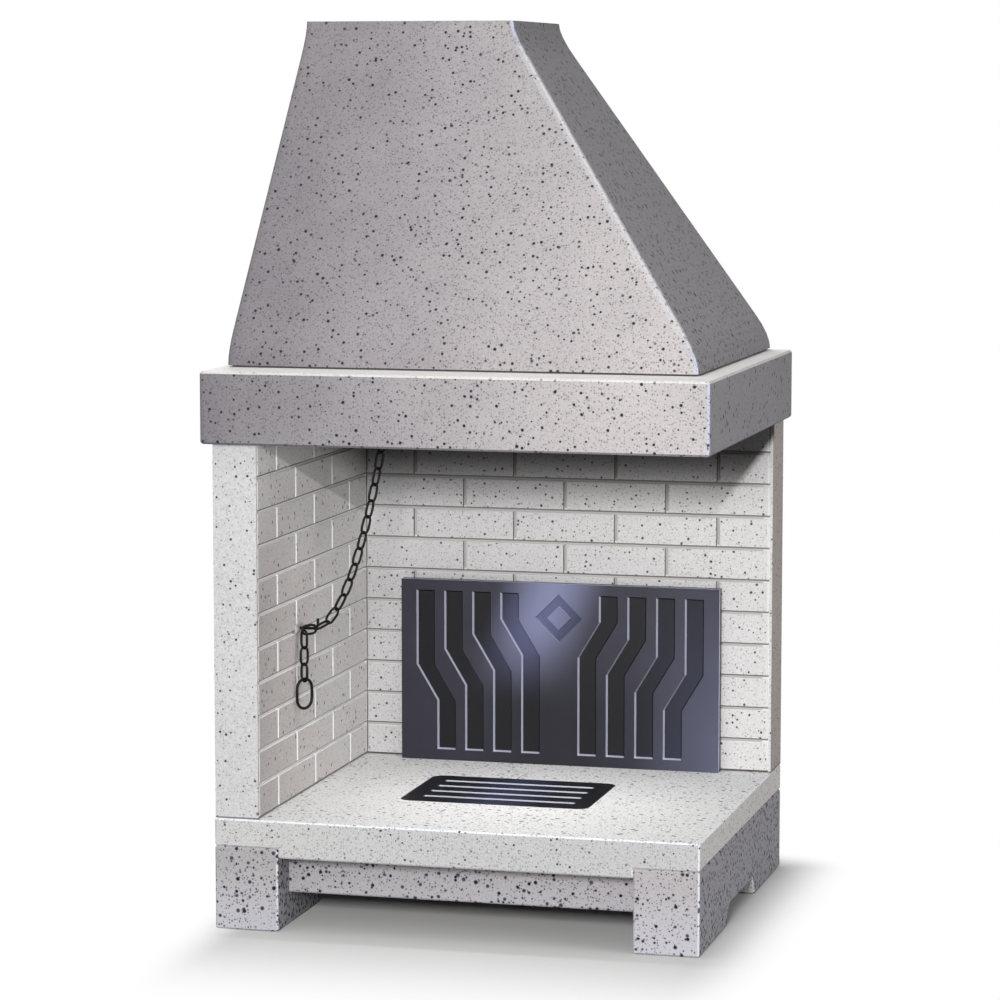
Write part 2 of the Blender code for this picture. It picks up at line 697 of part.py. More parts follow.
def build_fireback():
    bm = bmesh.new()
    box(bm, PLATE_LEFT, PLATE_LEFT + FIREBACK_WIDTH, PLATE_FRONT, PLATE_BACK, PLATE_BOTTOM, PLATE_TOP)
    plate = make("fireback", bm, CAST_IRON)
    bm = bmesh.new()
    for place in boss_places(PLATE_BACK):
        rod(bm, place - Y_AXIS * BRICK_ROOT, place + Y_AXIS * (BOSS_HEIGHT - SEAT), BOSS_RADIUS, ROUND_SIDES)
    boolean(plate, cutter_from("fireback_bosses", bm), "UNION")
    bore_holes("fireback_holes", plate, fireback_pin_places(INNER_Y), Y_AXIS,
               PIN_DIAMETER / 2 + TENON_FIT, PIN_IN_PLATE + SEAT, OVERRUN)
    centre = PLATE_LEFT + FIREBACK_WIDTH / 2
    low = PLATE_BOTTOM + RELIEF_BORDER
    high = PLATE_TOP - RELIEF_BORDER
    innermost = MIDDLE_RIB / 2 + CHANNEL_STEP
    pitch = (FIREBACK_WIDTH / 2 - innermost - RELIEF_BORDER) / CHANNELS
    for side in (-1, 1):
        for k in range(CHANNELS):
            x = centre + side * (innermost + pitch * (2 * k + 1) / 2)
            knee = high - RELIEF_BORDER - STEP_STAGGER * (k + 1)
            relief_cut(f"channel_{side}_{k}", channel(x, side, knee, low, high), plate)
    middle = high - LOZENGE_HEIGHT / 2
    rings = []
    for share, y in ((1, PLATE_FRONT - RELIEF_DEPTH), (1, PLATE_FRONT + RELIEF_DEPTH),
                     (LOZENGE_INNER_SHARE, PLATE_FRONT + RELIEF_DEPTH),
                     (LOZENGE_INNER_SHARE, PLATE_FRONT - RELIEF_DEPTH)):
        half = LOZENGE_WIDTH / 2 * share
        tall = LOZENGE_HEIGHT / 2 * share
        rings.append([(centre - half, y, middle), (centre, y, middle - tall),
                      (centre + half, y, middle), (centre, y, middle + tall)])
    bm = bmesh.new()
    loft(bm, rings, loop=True)
    boolean(plate, cutter_from("lozenge", bm))
    bm = bmesh.new()
    rod(bm, Y_AXIS * -PIN_IN_PLATE, Y_AXIS * PIN_IN_WALL, PIN_DIAMETER / 2, SMALL_SIDES)
    make_copies("fireback_pin", bm, SHEET_STEEL, fireback_pin_places(INNER_Y))


# Mantel and hood

MOUTH = (INNER_X, MOUTH_RIGHT, MOUTH_FRONT, INNER_Y)
MANTEL_OUTLINE = (LEFT - MANTEL_SIDE_OVERHANG, RIGHT + MANTEL_SIDE_OVERHANG,
                  FRONT - MANTEL_FRONT_OVERHANG, REAR)
HOOD_FOOT = (LEFT + HOOD_LEFT, LEFT + HOOD_RIGHT, FRONT + HOOD_FRONT, REAR)
HOOD_NECK = (LEFT + NECK_LEFT, LEFT + NECK_RIGHT, REAR - NECK_DEPTH, REAR)


def build_mantel():
    low, high = MANTEL_BOTTOM, MANTEL_TOP
    arris = MANTEL_ARRIS
    bm = bmesh.new()
    loft(bm, [rounded_ring(*grown(MANTEL_OUTLINE, -arris), low, MANTEL_CORNER - arris),
              rounded_ring(*MANTEL_OUTLINE, low + arris, MANTEL_CORNER),
              rounded_ring(*MANTEL_OUTLINE, high - arris, MANTEL_CORNER),
              rounded_ring(*grown(MANTEL_OUTLINE, -arris), high, MANTEL_CORNER - arris),
              rounded_ring(*MOUTH, high, MANTEL_CORNER), rounded_ring(*MOUTH, low, MANTEL_CORNER)],
         loop=True)
    mantel = make("mantel_ring", bm, HOOD_CEMENT)
    bore_holes("mantel_dowel_holes", mantel, dowel_places(MANTEL_BOTTOM), Z_AXIS,
               DOWEL_DIAMETER / 2 + TENON_FIT, OVERRUN, DOWEL_DEPTH + SEAT)
    bore_holes("mantel_screw_holes", mantel, funnel_screw_places(MANTEL_TOP), Z_AXIS,
               SCREW_DIAMETER / 2 + TENON_FIT, SCREW_DEPTH + SEAT, OVERRUN)


def hood_profile():
    """Heights and shares of the way from foot to neck: skirt, straight slope, neck."""
    slope = (NECK_SHARE - SKIRT_SHARE) / (HOOD_HEIGHT - SKIRT_HEIGHT - NECK_HEIGHT)
    knee = SKIRT_HEIGHT - SKIRT_SHARE / slope
    shoulder = HOOD_HEIGHT - NECK_HEIGHT + (1 - NECK_SHARE) / slope
    curves = (((0, 0), (knee, 0), (SKIRT_HEIGHT, SKIRT_SHARE)),
              ((HOOD_HEIGHT - NECK_HEIGHT, NECK_SHARE), (shoulder, 1), (HOOD_HEIGHT, 1)))
    for start, bend, end in curves:
        for step in range(CURVE_STEPS + 1):
            t = step / CURVE_STEPS
            yield tuple((1 - t) ** 2 * a + 2 * t * (1 - t) * b + t * t * c
                        for a, b, c in zip(start, bend, end))


def build_hood():
    outer = []
    inner = []
    for height, share in hood_profile():
        outline = blend(HOOD_FOOT, HOOD_NECK, share)
        outer.append(rounded_ring(*outline, HOOD_BOTTOM + height, HOOD_CORNER))
        inner.append(rounded_ring(*grown(outline, -HOOD_WALL), HOOD_BOTTOM + height, HOOD_CORNER))
    bm = bmesh.new()
    loft(bm, outer + inner[::-1], loop=True)
    make("hood_shell", bm, HOOD_CEMENT, smooth=True)
    bm = bmesh.new()
    low, high = MANTEL_TOP + SEAT, MANTEL_TOP + SEAT + GASKET_THICKNESS
    outside = grown(HOOD_FOOT, -GASKET_INSET)
    inside = grown(outside, -GASKET_WIDTH)
    loft(bm, [rounded_ring(*outside, low, HOOD_CORNER), rounded_ring(*outside, high, HOOD_CORNER),
              rounded_ring(*inside, high, HOOD_CORNER), rounded_ring(*inside, low, HOOD_CORNER)],
         loop=True)
    make("hood_gasket", bm, GASKET_FIBRE)


# Smoke path

THROAT = (THROAT_LEFT, THROAT_RIGHT, THROAT_FRONT, THROAT_REAR)


def funnel_screw_places(z):
    return corner_places(grown(MOUTH, FLANGE_WIDTH / 2 + SHEET), z)


def throat_bolt_places(z):
    return corner_places(grown(THROAT, THROAT_WALL / 2), z)


def build_funnel():
    low, high = MANTEL_TOP + SEAT, FUNNEL_TOP
    lean = SHEET / (FUNNEL_HEIGHT - FUNNEL_NECK)
    neck = grown(THROAT, FUNNEL_SKIN)
    foot = grown(MOUTH, FLANGE_WIDTH + SHEET)
    head = grown(THROAT, THROAT_WALL)
    bm = bmesh.new()
    loft(bm, [rounded_ring(*MOUTH, low, MANTEL_CORNER), rounded_ring(*foot, low, MANTEL_CORNER),
              rounded_ring(*foot, low + SHEET, MANTEL_CORNER),
              rounded_ring(*grown(blend(MOUTH, THROAT, lean), FUNNEL_SKIN), low + SHEET, MANTEL_CORNER),
              rounded_ring(*neck, high - FUNNEL_NECK, MANTEL_CORNER),
              rounded_ring(*neck, high - SHEET, MANTEL_CORNER),
              rounded_ring(*head, high - SHEET, MANTEL_CORNER), rounded_ring(*head, high, MANTEL_CORNER),
              rounded_ring(*THROAT, high, MANTEL_CORNER),
              rounded_ring(*THROAT, high - FUNNEL_NECK, MANTEL_CORNER)], loop=True)
    funnel = make("smoke_funnel", bm, SHEET_STEEL)
    radius = SCREW_DIAMETER / 2 + TENON_FIT
    bore_holes("funnel_screw_holes", funnel, funnel_screw_places(low), Z_AXIS, radius, OVERRUN, SHEET * 2)
    bore_holes("funnel_bolt_holes", funnel, throat_bolt_places(high), Z_AXIS, radius, SHEET * 2, OVERRUN)
    bm = bmesh.new()
    stepped_rod(bm, Vector(), Z_AXIS, [(-SCREW_DEPTH, SCREW_DIAMETER / 2), (0, SCREW_DIAMETER / 2),
                                       (0, BOLT_HEAD), (SCREW_HEAD_HEIGHT, BOLT_HEAD)])
    make_copies("funnel_screw", bm, SHEET_STEEL, funnel_screw_places(low + SHEET + SEAT))


def build_throat():
    outer = grown(THROAT, THROAT_WALL)
    bm = bmesh.new()
    loft(bm, [rounded_ring(*outer, THROAT_BOTTOM, MANTEL_CORNER),
              rounded_ring(*outer, THROAT_TOP, MANTEL_CORNER),
              rounded_ring(*THROAT, THROAT_TOP, MANTEL_CORNER),
              rounded_ring(*THROAT, THROAT_BOTTOM, MANTEL_CORNER)], loop=True)
    throat = make("throat_frame", bm, CAST_IRON)
    bm = bmesh.new()
    stop_top = SHAFT.z + SHAFT_RADIUS
    for share in STOP_SHARES:
        x = THROAT_LEFT + THROAT_WIDTH * share
        box(bm, x - STOP_LENGTH / 2, x + STOP_LENGTH / 2, THROAT_REAR - STOP_REACH,
            THROAT_REAR + BRICK_ROOT, stop_top - STOP_HEIGHT, stop_top)
    boolean(throat, cutter_from("throat_stops", bm), "UNION")
    bm = bmesh.new()
    for x in (THROAT_LEFT, THROAT_RIGHT + THROAT_WALL):
        place = Vector((x + OVERRUN, SHAFT.y, SHAFT.z))
        rod(bm, place, place - X_AXIS * (THROAT_WALL + OVERRUN * 2), BUSH_RADIUS + SEAT)
    boolean(throat, cutter_from("throat_bush_holes", bm))
    bore_holes("throat_bolt_holes", throat, throat_bolt_places(THROAT_BOTTOM), Z_AXIS,
               SCREW_DIAMETER / 2 + TENON_FIT, OVERRUN, THROAT_HEIGHT + OVERRUN)
    grip = SHEET + SEAT * 2
    bm = bmesh.new()
    double_headed(bm, SCREW_DIAMETER / 2, -grip, THROAT_HEIGHT + grip)
    make_copies("throat_bolt", bm, SHEET_STEEL, throat_bolt_places(THROAT_BOTTOM))


def section_ring(outline, radius, z):
    """A ring of rays from the middle: to a rectangle's edge, or to a circle round the flue."""
    points = []
    count = 4 * SECTION_QUARTER
    x0, x1, y0, y1 = outline
    for k in range(count):
        angle = 2 * math.pi * k / count
        c, s = math.cos(angle), math.sin(angle)
        if radius is None:
            reach = 1 / max(abs(c), abs(s))
            points.append(((x0 + x1) / 2 + (x1 - x0) / 2 * c * reach,
                           (y0 + y1) / 2 + (y1 - y0) / 2 * s * reach, z))
        else:
            points.append((FLUE.x + radius * c, FLUE.y + radius * s, z))
    return points


def build_chamber():
    """The square-to-round piece above the throat, and the collar in its round end."""
    low, high = CHAMBER_BOTTOM, CHAMBER_TOP
    straight = low + CHAMBER_STRAIGHT
    rounded = high - COLLAR_LAP
    inside = FLUE_DIAMETER / 2 + SEAT
    skin = grown(THROAT, SHEET)
    foot = grown(THROAT, THROAT_WALL)
    bm = bmesh.new()
    loft(bm, [section_ring(foot, None, low), section_ring(foot, None, low + SHEET),
              section_ring(skin, None, low + SHEET), section_ring(skin, None, straight),
              section_ring(THROAT, inside + SHEET, rounded), section_ring(THROAT, inside + SHEET, high),
              section_ring(THROAT, inside, high), section_ring(THROAT, inside, rounded),
              section_ring(THROAT, None, straight), section_ring(THROAT, None, low)], loop=True)
    chamber = make("smoke_chamber", bm, SHEET_STEEL)
    bore_holes("chamber_bolt_holes", chamber, throat_bolt_places(low), Z_AXIS,
               SCREW_DIAMETER / 2 + TENON_FIT, OVERRUN, SHEET * 2)
    outer = FLUE_DIAMETER / 2
    bead = high + SEAT
    top = HOOD_TOP - COLLAR_BELOW_NECK
    bm = bmesh.new()
    loft(bm, [section_ring(THROAT, radius, z) for radius, z in (
        (outer, rounded), (outer, bead), (outer + COLLAR_BEAD, bead),
        (outer + COLLAR_BEAD, bead + COLLAR_BEAD), (outer, bead + COLLAR_BEAD), (outer, top),
        (outer - SHEET, top), (outer - SHEET, rounded))], loop=True)
    make("flue_collar", bm, SHEET_STEEL, smooth=True)


# Damper

LEVER_X = LEFT + LEVER_FROM_LEFT
HUB = SHAFT_RADIUS + SEAT + HUB_WALL


def lever_reach():
    """The slot's ends from the shaft, and the lever's lean when the flap is shut.

    The chain reaches equally far at both ends of the swing. Half way, where the
    lever points at the wall pin, the shackle has slid to the slot's near end.
    """
    back = SHAFT.y - HOOK.y
    up = SHAFT.z - HOOK.z
    span = math.hypot(back, up)
    half = SWING / 2
    chain = math.sqrt(span ** 2 + LEVER_RADIUS ** 2 - 2 * span * LEVER_RADIUS * math.cos(half))
    return span - chain, LEVER_RADIUS, math.atan2(back, up) + half


def build_damper():
    near, far, lean = lever_reach()
    bush_bore = SHAFT_RADIUS + TURNING_FIT
    for name, face, out in (("damper_bush_left", THROAT_LEFT, -1), ("damper_bush_right", THROAT_RIGHT, 1)):
        bm = bmesh.new()
        wall = THROAT_WALL + SEAT
        stepped_rod(bm, (face, SHAFT.y, SHAFT.z), X_AXIS * out,
                    [(0, BUSH_RADIUS), (wall, BUSH_RADIUS), (wall, BUSH_RADIUS + BUSH_FLANGE),
                     (wall + BUSH_FLANGE, BUSH_RADIUS + BUSH_FLANGE)], ROUND_SIDES, bush_bore)
        make(name, bm, BRONZE, smooth=True)
    half = THROAT_WIDTH / 2 + THROAT_WALL + BUSH_FLANGE + SHAFT_DIAMETER / 2
    bm = bmesh.new()
    rod(bm, SHAFT - X_AXIS * half, SHAFT + X_AXIS * half, SHAFT_RADIUS)
    shaft = make("damper_shaft", bm, SHEET_STEEL, pivot=SHAFT, smooth=True)
    bolt_radius = BOLT_DIAMETER / 2
    bolts = [Vector((x, SHAFT.y, SHAFT.z))
             for x in (THROAT_LEFT + BOLT_FROM_END, THROAT_RIGHT - BOLT_FROM_END)]
    bore_holes("shaft_bolt_holes", shaft, bolts, Z_AXIS,
               bolt_radius + TENON_FIT, SHAFT_DIAMETER, SHAFT_DIAMETER)

    flap_low = SHAFT.z + SHAFT_RADIUS + SEAT
    flap_high = flap_low + FLAP_THICKNESS
    bm = bmesh.new()
    box(bm, *grown(THROAT, -FLAP_GAP), flap_low, flap_high)
    flap = make("damper_flap", bm, CAST_IRON, pivot=SHAFT)
    bm = bmesh.new()
    notch = HUB_LENGTH / 2 + FLAP_GAP / 2
    deep = LEVER_WIDTH
    box(bm, LEVER_X - notch, LEVER_X + notch, SHAFT.y - deep, SHAFT.y + deep,
        flap_low - OVERRUN, flap_high + OVERRUN)
    boolean(flap, cutter_from("flap_notch", bm))
    weight_y = THROAT_REAR - FLAP_GAP - WEIGHT_FROM_EDGE - WEIGHT_SIDE
    weight_bolts = [Vector((SHAFT.x + side * (WEIGHT_LENGTH / 2 - WEIGHT_SIDE),
                            weight_y + WEIGHT_SIDE / 2, flap_high)) for side in (-1, 1)]
    bore_holes("flap_bolt_holes", flap, bolts + weight_bolts, Z_AXIS,
               bolt_radius + TENON_FIT, OVERRUN, OVERRUN * 2)

    bm = bmesh.new()
    double_headed(bm, bolt_radius, -SHAFT_RADIUS - SEAT, flap_high + SEAT - SHAFT.z)
    make_copies("damper_flap_bolt", bm, SHEET_STEEL, bolts, shaft)

    bm = bmesh.new()
    low = flap_high + SEAT
    box(bm, SHAFT.x - WEIGHT_LENGTH / 2, SHAFT.x + WEIGHT_LENGTH / 2, weight_y, weight_y + WEIGHT_SIDE,
        low, low + WEIGHT_SIDE)
    weight = make("damper_weight", bm, CAST_IRON, pivot=SHAFT)
    bore_holes("weight_bolt_holes", weight, weight_bolts, Z_AXIS,
               bolt_radius + TENON_FIT, OVERRUN, OVERRUN + WEIGHT_SIDE)
    bm = bmesh.new()
    double_headed(bm, bolt_radius, -FLAP_THICKNESS - SEAT, WEIGHT_SIDE + SEAT * 2)
    make_copies("damper_weight_bolt", bm, SHEET_STEEL, weight_bolts, shaft)
    build_lever(near, far, lean)


def capsule(low, high, radius, x):
    """Points of a round-ended outline in the YZ plane, from low to high below the shaft."""
    points = []
    for z, first in ((-low, 0), (-high, math.pi)):
        for step in range(LEVER_END_STEPS + 1):
            angle = first + math.pi * step / LEVER_END_STEPS
            points.append(Vector((x, radius * math.cos(angle), z + radius * math.sin(angle))))
    return points


def build_lever(near, far, lean):
    """A slotted plate on a hub, modelled hanging straight down and turned to its lean."""
    middle = Vector((LEVER_X, SHAFT.y, SHAFT.z))
    half = LEVER_THICKNESS / 2
    wire = SHACKLE_WIRE / 2 + SHACKLE_PLAY
    slot_end = LEVER_SLOT_WIDTH / 2
    tip = far + wire + LEVER_TIP - LEVER_WIDTH / 2
    bm = bmesh.new()
    loft(bm, [capsule(0, tip, LEVER_WIDTH / 2, x) for x in (-half, half)])
    lever = make("damper_lever", bm, CAST_IRON)
    lever.location = middle
    turn = Matrix.Translation(middle) @ Matrix.Rotation(-lean, 4, "X")
    bm = bmesh.new()
    rod(bm, X_AXIS * (-HUB_LENGTH / 2), X_AXIS * (HUB_LENGTH / 2), HUB)
    lever_part(lever, "lever_hub", bm, turn, "UNION")
    bm = bmesh.new()
    rod(bm, X_AXIS * -HUB_LENGTH, X_AXIS * HUB_LENGTH, SHAFT_RADIUS + SEAT)
    lever_part(lever, "lever_bore", bm, turn, "DIFFERENCE")
    bm = bmesh.new()
    box(bm, -HUB_LENGTH, HUB_LENGTH, -slot_end, slot_end, -far - wire, -near + wire)
    lever_part(lever, "lever_slot", bm, turn, "DIFFERENCE")
    bm = bmesh.new()
    aside = X_AXIS * ((HUB_LENGTH + LEVER_THICKNESS) / 4)
    rod(bm, aside - Y_AXIS * (HUB + OVERRUN), aside - Y_AXIS * (SHAFT_RADIUS / 2),
        GRUB_DIAMETER / 2 + TENON_FIT, SMALL_SIDES)
    lever_part(lever, "lever_screw_hole", bm, turn, "DIFFERENCE")
    lever.rotation_euler = (-lean, 0, 0)
    bm = bmesh.new()
    rod(bm, aside - Y_AXIS * (SHAFT_RADIUS + SEAT), aside - Y_AXIS * (HUB + GRUB_HEAD),
        GRUB_DIAMETER / 2, SMALL_SIDES)
    screw = make("lever_screw", bm, SHEET_STEEL, smooth=True)
    screw.location = middle
    screw.rotation_euler = (-lean, 0, 0)


def lever_part(lever, name, bm, turn, operation):
    cutter = cutter_from(name, bm)
    cutter.matrix_world = turn
    boolean(lever, cutter, operation)


# Wall hook

PLATE_X = INNER_X + SEAT


def hook_screw_places(x):
    return [Vector((x, HOOK.y + side * HOOK_SCREW_SPACING / 2, HOOK.z)) for side in (-1, 1)]


def build_hook():
    front = PLATE_X + HOOK_PLATE_THICKNESS
    bm = bmesh.new()
    box(bm, PLATE_X, front, HOOK.y - HOOK_PLATE_WIDTH / 2, HOOK.y + HOOK_PLATE_WIDTH / 2,
        HOOK.z - HOOK_PLATE_HEIGHT / 2, HOOK.z + HOOK_PLATE_HEIGHT / 2)
    hook = make("wall_hook", bm, BLACK_STEEL)
    radius = HOOK_PIN_DIAMETER / 2
    end = INNER_X + HOOK_REACH
    bend = HOOK_PIN_DIAMETER
    bm = bmesh.new()
    bent_rod(bm, [(PLATE_X + HOOK_PLATE_THICKNESS / 2, HOOK.y, HOOK.z), (end - bend, HOOK.y, HOOK.z),
                  (end, HOOK.y, HOOK.z + bend), (end, HOOK.y, HOOK.z + bend + HOOK_TIP)], Y_AXIS, radius)
    boolean(hook, cutter_from("hook_pin", bm), "UNION")
    bore_holes("hook_plate_holes", hook, hook_screw_places(PLATE_X), X_AXIS,
               SCREW_DIAMETER / 2 + TENON_FIT, OVERRUN, OVERRUN)
    bm = bmesh.new()
    stepped_rod(bm, Vector(), X_AXIS, [(-SCREW_DEPTH, SCREW_DIAMETER / 2), (0, SCREW_DIAMETER / 2),
                                       (0, BOLT_HEAD), (SCREW_HEAD_HEIGHT / 2, BOLT_HEAD)])
    make_copies("wall_hook_screw", bm, BLACK_STEEL, hook_screw_places(front + SEAT))


# Chain

WIRE_FROM_CONTACT = (LINK_WIRE - LINK_JOIN) / 2
CHORD_HALVINGS = 40


def link_frame(start, end, across):
    """The frame of a link between two contacts: X along it, Y across it, Z square to it."""
    along = (end - start).normalized()
    normal = along.cross(across).normalized()
    across = normal.cross(along)
    frame = Matrix((along, across, normal)).transposed().to_4x4()
    frame.translation = (start + end) / 2
    return frame


def add_link(bm, start, end, across):
    half_length = (end - start).length / 2 + WIRE_FROM_CONTACT
    wire_link(bm, link_frame(start, end, across), half_length, (LINK_WIDTH - LINK_WIRE) / 2, LINK_WIRE)


def make_links(name, links, pivot):
    """Joins links into one piece; every second one is a cutter that is united with the rest."""
    parts = [bmesh.new(), bmesh.new()]
    for k, (start, end, across) in enumerate(links):
        add_link(parts[k % 2], start, end, across)
    piece = make(name, parts[0], BLACK_STEEL, pivot, smooth=True)
    boolean(piece, cutter_from(f"{name}_between", parts[1]), "UNION")


def hang_points(start, top, plan):
    """Contacts one pitch apart along the sagging line, up to where the shackle begins."""
    run = (top - start).dot(plan)
    rise = top.z - start.z
    lowest = math.cosh(0)
    full = math.cosh(run / SAG_LENGTH) - lowest

    def on_curve(h):
        return start + plan * h + Z_AXIS * (rise * (math.cosh(h / SAG_LENGTH) - lowest) / full)

    contacts = [start]
    h = 0
    while (top - contacts[-1]).length > SHACKLE_LEAST + LINK_PITCH:
        low, high = h, h + LINK_PITCH
        for _ in range(CHORD_HALVINGS):
            h = (low + high) / 2
            if (on_curve(h) - contacts[-1]).length > LINK_PITCH:
                high = h
            else:
                low = h
        contacts.append(on_curve(h))
    if len(contacts) % 2 == 0:
        contacts.pop()
    return contacts


def build_chain():
    _, far, lean = lever_reach()
    top = Vector((LEVER_X, SHAFT.y - far * math.sin(lean), SHAFT.z - far * math.cos(lean)))
    plan = Vector((top.x - HOOK.x, top.y - HOOK.y, 0)).normalized()
    side = Vector((plan.y, -plan.x, 0))

    # The hooked link lies level, its upper side on the wall pin; the tail hangs in its far end.
    level = HOOK.z + HOOK_PIN_DIAMETER / 2 + SEAT - (LINK_WIDTH / 2 - LINK_WIRE)
    head = Vector((HOOK.x, HOOK.y, level)) - plan * TAIL_OFFSET
    first = head - plan * (LINK_WIRE + LINK_FIT - WIRE_FROM_CONTACT)
    contacts = hang_points(first + plan * LINK_PITCH, top, plan)
    links = [(first, contacts[0], Z_AXIS)]
    for k, (start, end) in enumerate(zip(contacts, contacts[1:])):
        across = side if k % 2 == 0 else side.cross(end - start)
        links.append((start, end, across))
    make_links("chain_run", links, HOOK)

    last_wire = contacts[-1] + (contacts[-1] - contacts[-2]).normalized() * WIRE_FROM_CONTACT
    foot = last_wire - (top - last_wire).normalized() * ((LINK_WIRE + SHACKLE_WIRE) / 2 + LINK_FIT)
    bm = bmesh.new()
    wire_link(bm, link_frame(foot, top, X_AXIS), (top - foot).length / 2,
              (SHACKLE_WIDTH - SHACKLE_WIRE) / 2, SHACKLE_WIRE, RING_STEPS)
    make("chain_shackle", bm, BLACK_STEEL, HOOK, smooth=True)

    links = []
    start = head - Z_AXIS * WIRE_FROM_CONTACT
    for k in range(TAIL_LINKS):
        end = start - Z_AXIS * LINK_PITCH
        links.append((start, end, plan if k % 2 else side))
        start = end
    make_links("chain_tail", links, head)

    lowest = start - Z_AXIS * WIRE_FROM_CONTACT
    ring_top = lowest + Z_AXIS * ((LINK_WIRE + RING_WIRE) / 2 + LINK_FIT)
    half_length = (RING_LENGTH - RING_WIRE) / 2
    bm = bmesh.new()
    wire_link(bm, link_frame(ring_top, ring_top - Z_AXIS * half_length * 2, plan), half_length,
              (RING_WIDTH - RING_WIRE) / 2, RING_WIRE, RING_STEPS)
    make("pull_ring", bm, BLACK_STEEL, ring_top, smooth=True)


clear_scene()
CUTTER = material("cutter", (0.8, 0.2, 0.2), 0.5)
SUPPORT_CEMENT = material("support_cement", (0.52, 0.50, 0.54), 0.85)
HEARTH_CEMENT = material("hearth_cement", (0.72, 0.72, 0.72), 0.8)
WALL_CEMENT = material("wall_cement", (0.66, 0.63, 0.61), 0.85)
HOOD_CEMENT = material("hood_cement", (0.48, 0.45, 0.46), 0.85)
CAST_IRON = material("cast_iron", (0.03, 0.03, 0.05), 0.4, 0.7)
SHEET_STEEL = material("sheet_steel", (0.18, 0.18, 0.19), 0.45, 0.9)
BLACK_STEEL = material("black_steel", (0.02, 0.02, 0.02), 0.35, 0.8)
BRONZE = material("bronze", (0.35, 0.22, 0.10), 0.4, 1.0)
GASKET_FIBRE = material("gasket_fibre", (0.35, 0.34, 0.33), 0.95)

build_base()
build_slab()
build_grate()
build_ash_box()
build_walls()
build_fireback()
build_mantel()
build_hood()
build_funnel()
build_throat()
build_chamber()
build_damper()
build_hook()
build_chain()
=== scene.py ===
# %% [markdown]
# # A corner fireplace in speckled cast cement
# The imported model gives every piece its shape, size and place. This lesson gives the
# pieces their finishes, rounds the wire and the turned parts, and sets up a plain studio
# with the photograph's point of view. The finishes are worked out from the place in space
# and from the way a face looks, so they stay right when the damper or the grate moves.

# %% Load the frame
import math

import bpy
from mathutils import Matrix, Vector


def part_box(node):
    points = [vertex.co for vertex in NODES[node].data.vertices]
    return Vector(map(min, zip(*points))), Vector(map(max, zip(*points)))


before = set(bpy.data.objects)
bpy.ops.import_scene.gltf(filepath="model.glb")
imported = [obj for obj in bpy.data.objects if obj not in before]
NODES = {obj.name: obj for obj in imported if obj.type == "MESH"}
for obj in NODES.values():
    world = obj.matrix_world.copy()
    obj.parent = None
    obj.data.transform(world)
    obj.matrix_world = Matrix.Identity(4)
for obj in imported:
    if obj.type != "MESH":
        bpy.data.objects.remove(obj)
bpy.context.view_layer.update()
MM = 0.001

# %% [markdown]
# ## Camera
# The photograph was taken from 6.9 m away with a long lens, a little above the mantel
# and 15 degrees to the right of the front. A long lens keeps the verticals nearly
# parallel, so a plain perspective camera without any shift gives the same frame.

# %% Camera
EYE = (1.7902, -6.8649, 1.6113)
EYE_DOWN, EYE_TURN = 6.492, 14.736      # degrees
LENS = 129.2


def make_camera():
    data = bpy.data.cameras.new("studio_camera")
    data.lens = LENS
    data.sensor_width = 36
    data.clip_end = 100
    made = bpy.data.objects.new("studio_camera", data)
    made.location = EYE
    made.rotation_euler = (math.radians(90 - EYE_DOWN), 0, math.radians(EYE_TURN))
    bpy.context.scene.collection.objects.link(made)
    bpy.context.scene.camera = made
    return made


camera = make_camera()
print("camera at", [round(v, 2) for v in camera.location], "lens", camera.data.lens, "mm")

# %% [markdown]
# ## Helpers for materials
# A material is a small graph of nodes. Colours are written as sRGB hex, as a paint chart
# gives them, and one function turns them into the linear values that the renderer counts
# in. Another adds a node of any kind with its settings and links. The node's values stand
# in a list, in the order in which it shows its sockets from top to bottom, or in a
# dictionary by name. A node among the values stands for its own first output.

# %% Node and colour helpers
def linear(hex_colour):
    values = [int(hex_colour[i:i + 2], 16) / 255 for i in (1, 3, 5)]
    return (*(v / 12.92 if v <= 0.04045 else ((v + 0.055) / 1.055) ** 2.4 for v in values), 1.0)


def plug(tree, value, socket):
    """Gives a socket a constant, or a link from an output or a node."""
    if isinstance(value, bpy.types.Node):
        value = next(output for output in value.outputs if output.enabled)
    if isinstance(value, bpy.types.NodeSocket):
        tree.links.new(value, socket)
    else:
        socket.default_value = value


def add(tree, kind, values=(), **settings):
    """Adds a node; its values are a list in the sockets' order, or a dictionary."""
    node = tree.nodes.new("ShaderNode" + kind)
    for name, setting in settings.items():
        setattr(node, name, setting)
    if not isinstance(values, dict):
        shown = [number for number, socket in enumerate(node.inputs) if socket.enabled]
        values = dict(zip(shown, values))
    for name, value in values.items():
        plug(tree, value, node.inputs[name])
    return node


print("linear mid grey:", round(linear("#808080")[0], 4))

# %% [markdown]
# Each material here has one Principled shader. Its constants, such as the roughness, are
# set on its sockets when it is made, and colours and patterns are plugged in later. A
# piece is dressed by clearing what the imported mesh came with.

# %% Material helpers
def new_material(name, **constants):
    made = bpy.data.materials.new(name)
    made.use_nodes = True
    tree = made.node_tree
    tree.nodes.clear()
    shader = add(tree, "BsdfPrincipled", {key.replace("_", " "): value
                                          for key, value in constants.items()})
    add(tree, "OutputMaterial", {"Surface": shader})
    return made, tree, shader


def dress(material, *names):
    for name in names:
        mesh = NODES[name].data
        mesh.materials.clear()
        mesh.materials.append(material)


def named(*stems):
    return sorted(name for name in NODES if name.startswith(stems))


print("pieces of the base:", named("base_"))

# %% [markdown]
# ## Masks
# Most of what follows is a mask, a number from 0 to 1 that says how much of a colour
# shows at a point. A Map Range node makes one from the place in space or from a face's
# direction: it maps one span of values to another and holds the result at the ends.
# Masks are multiplied where all of them have to hold.

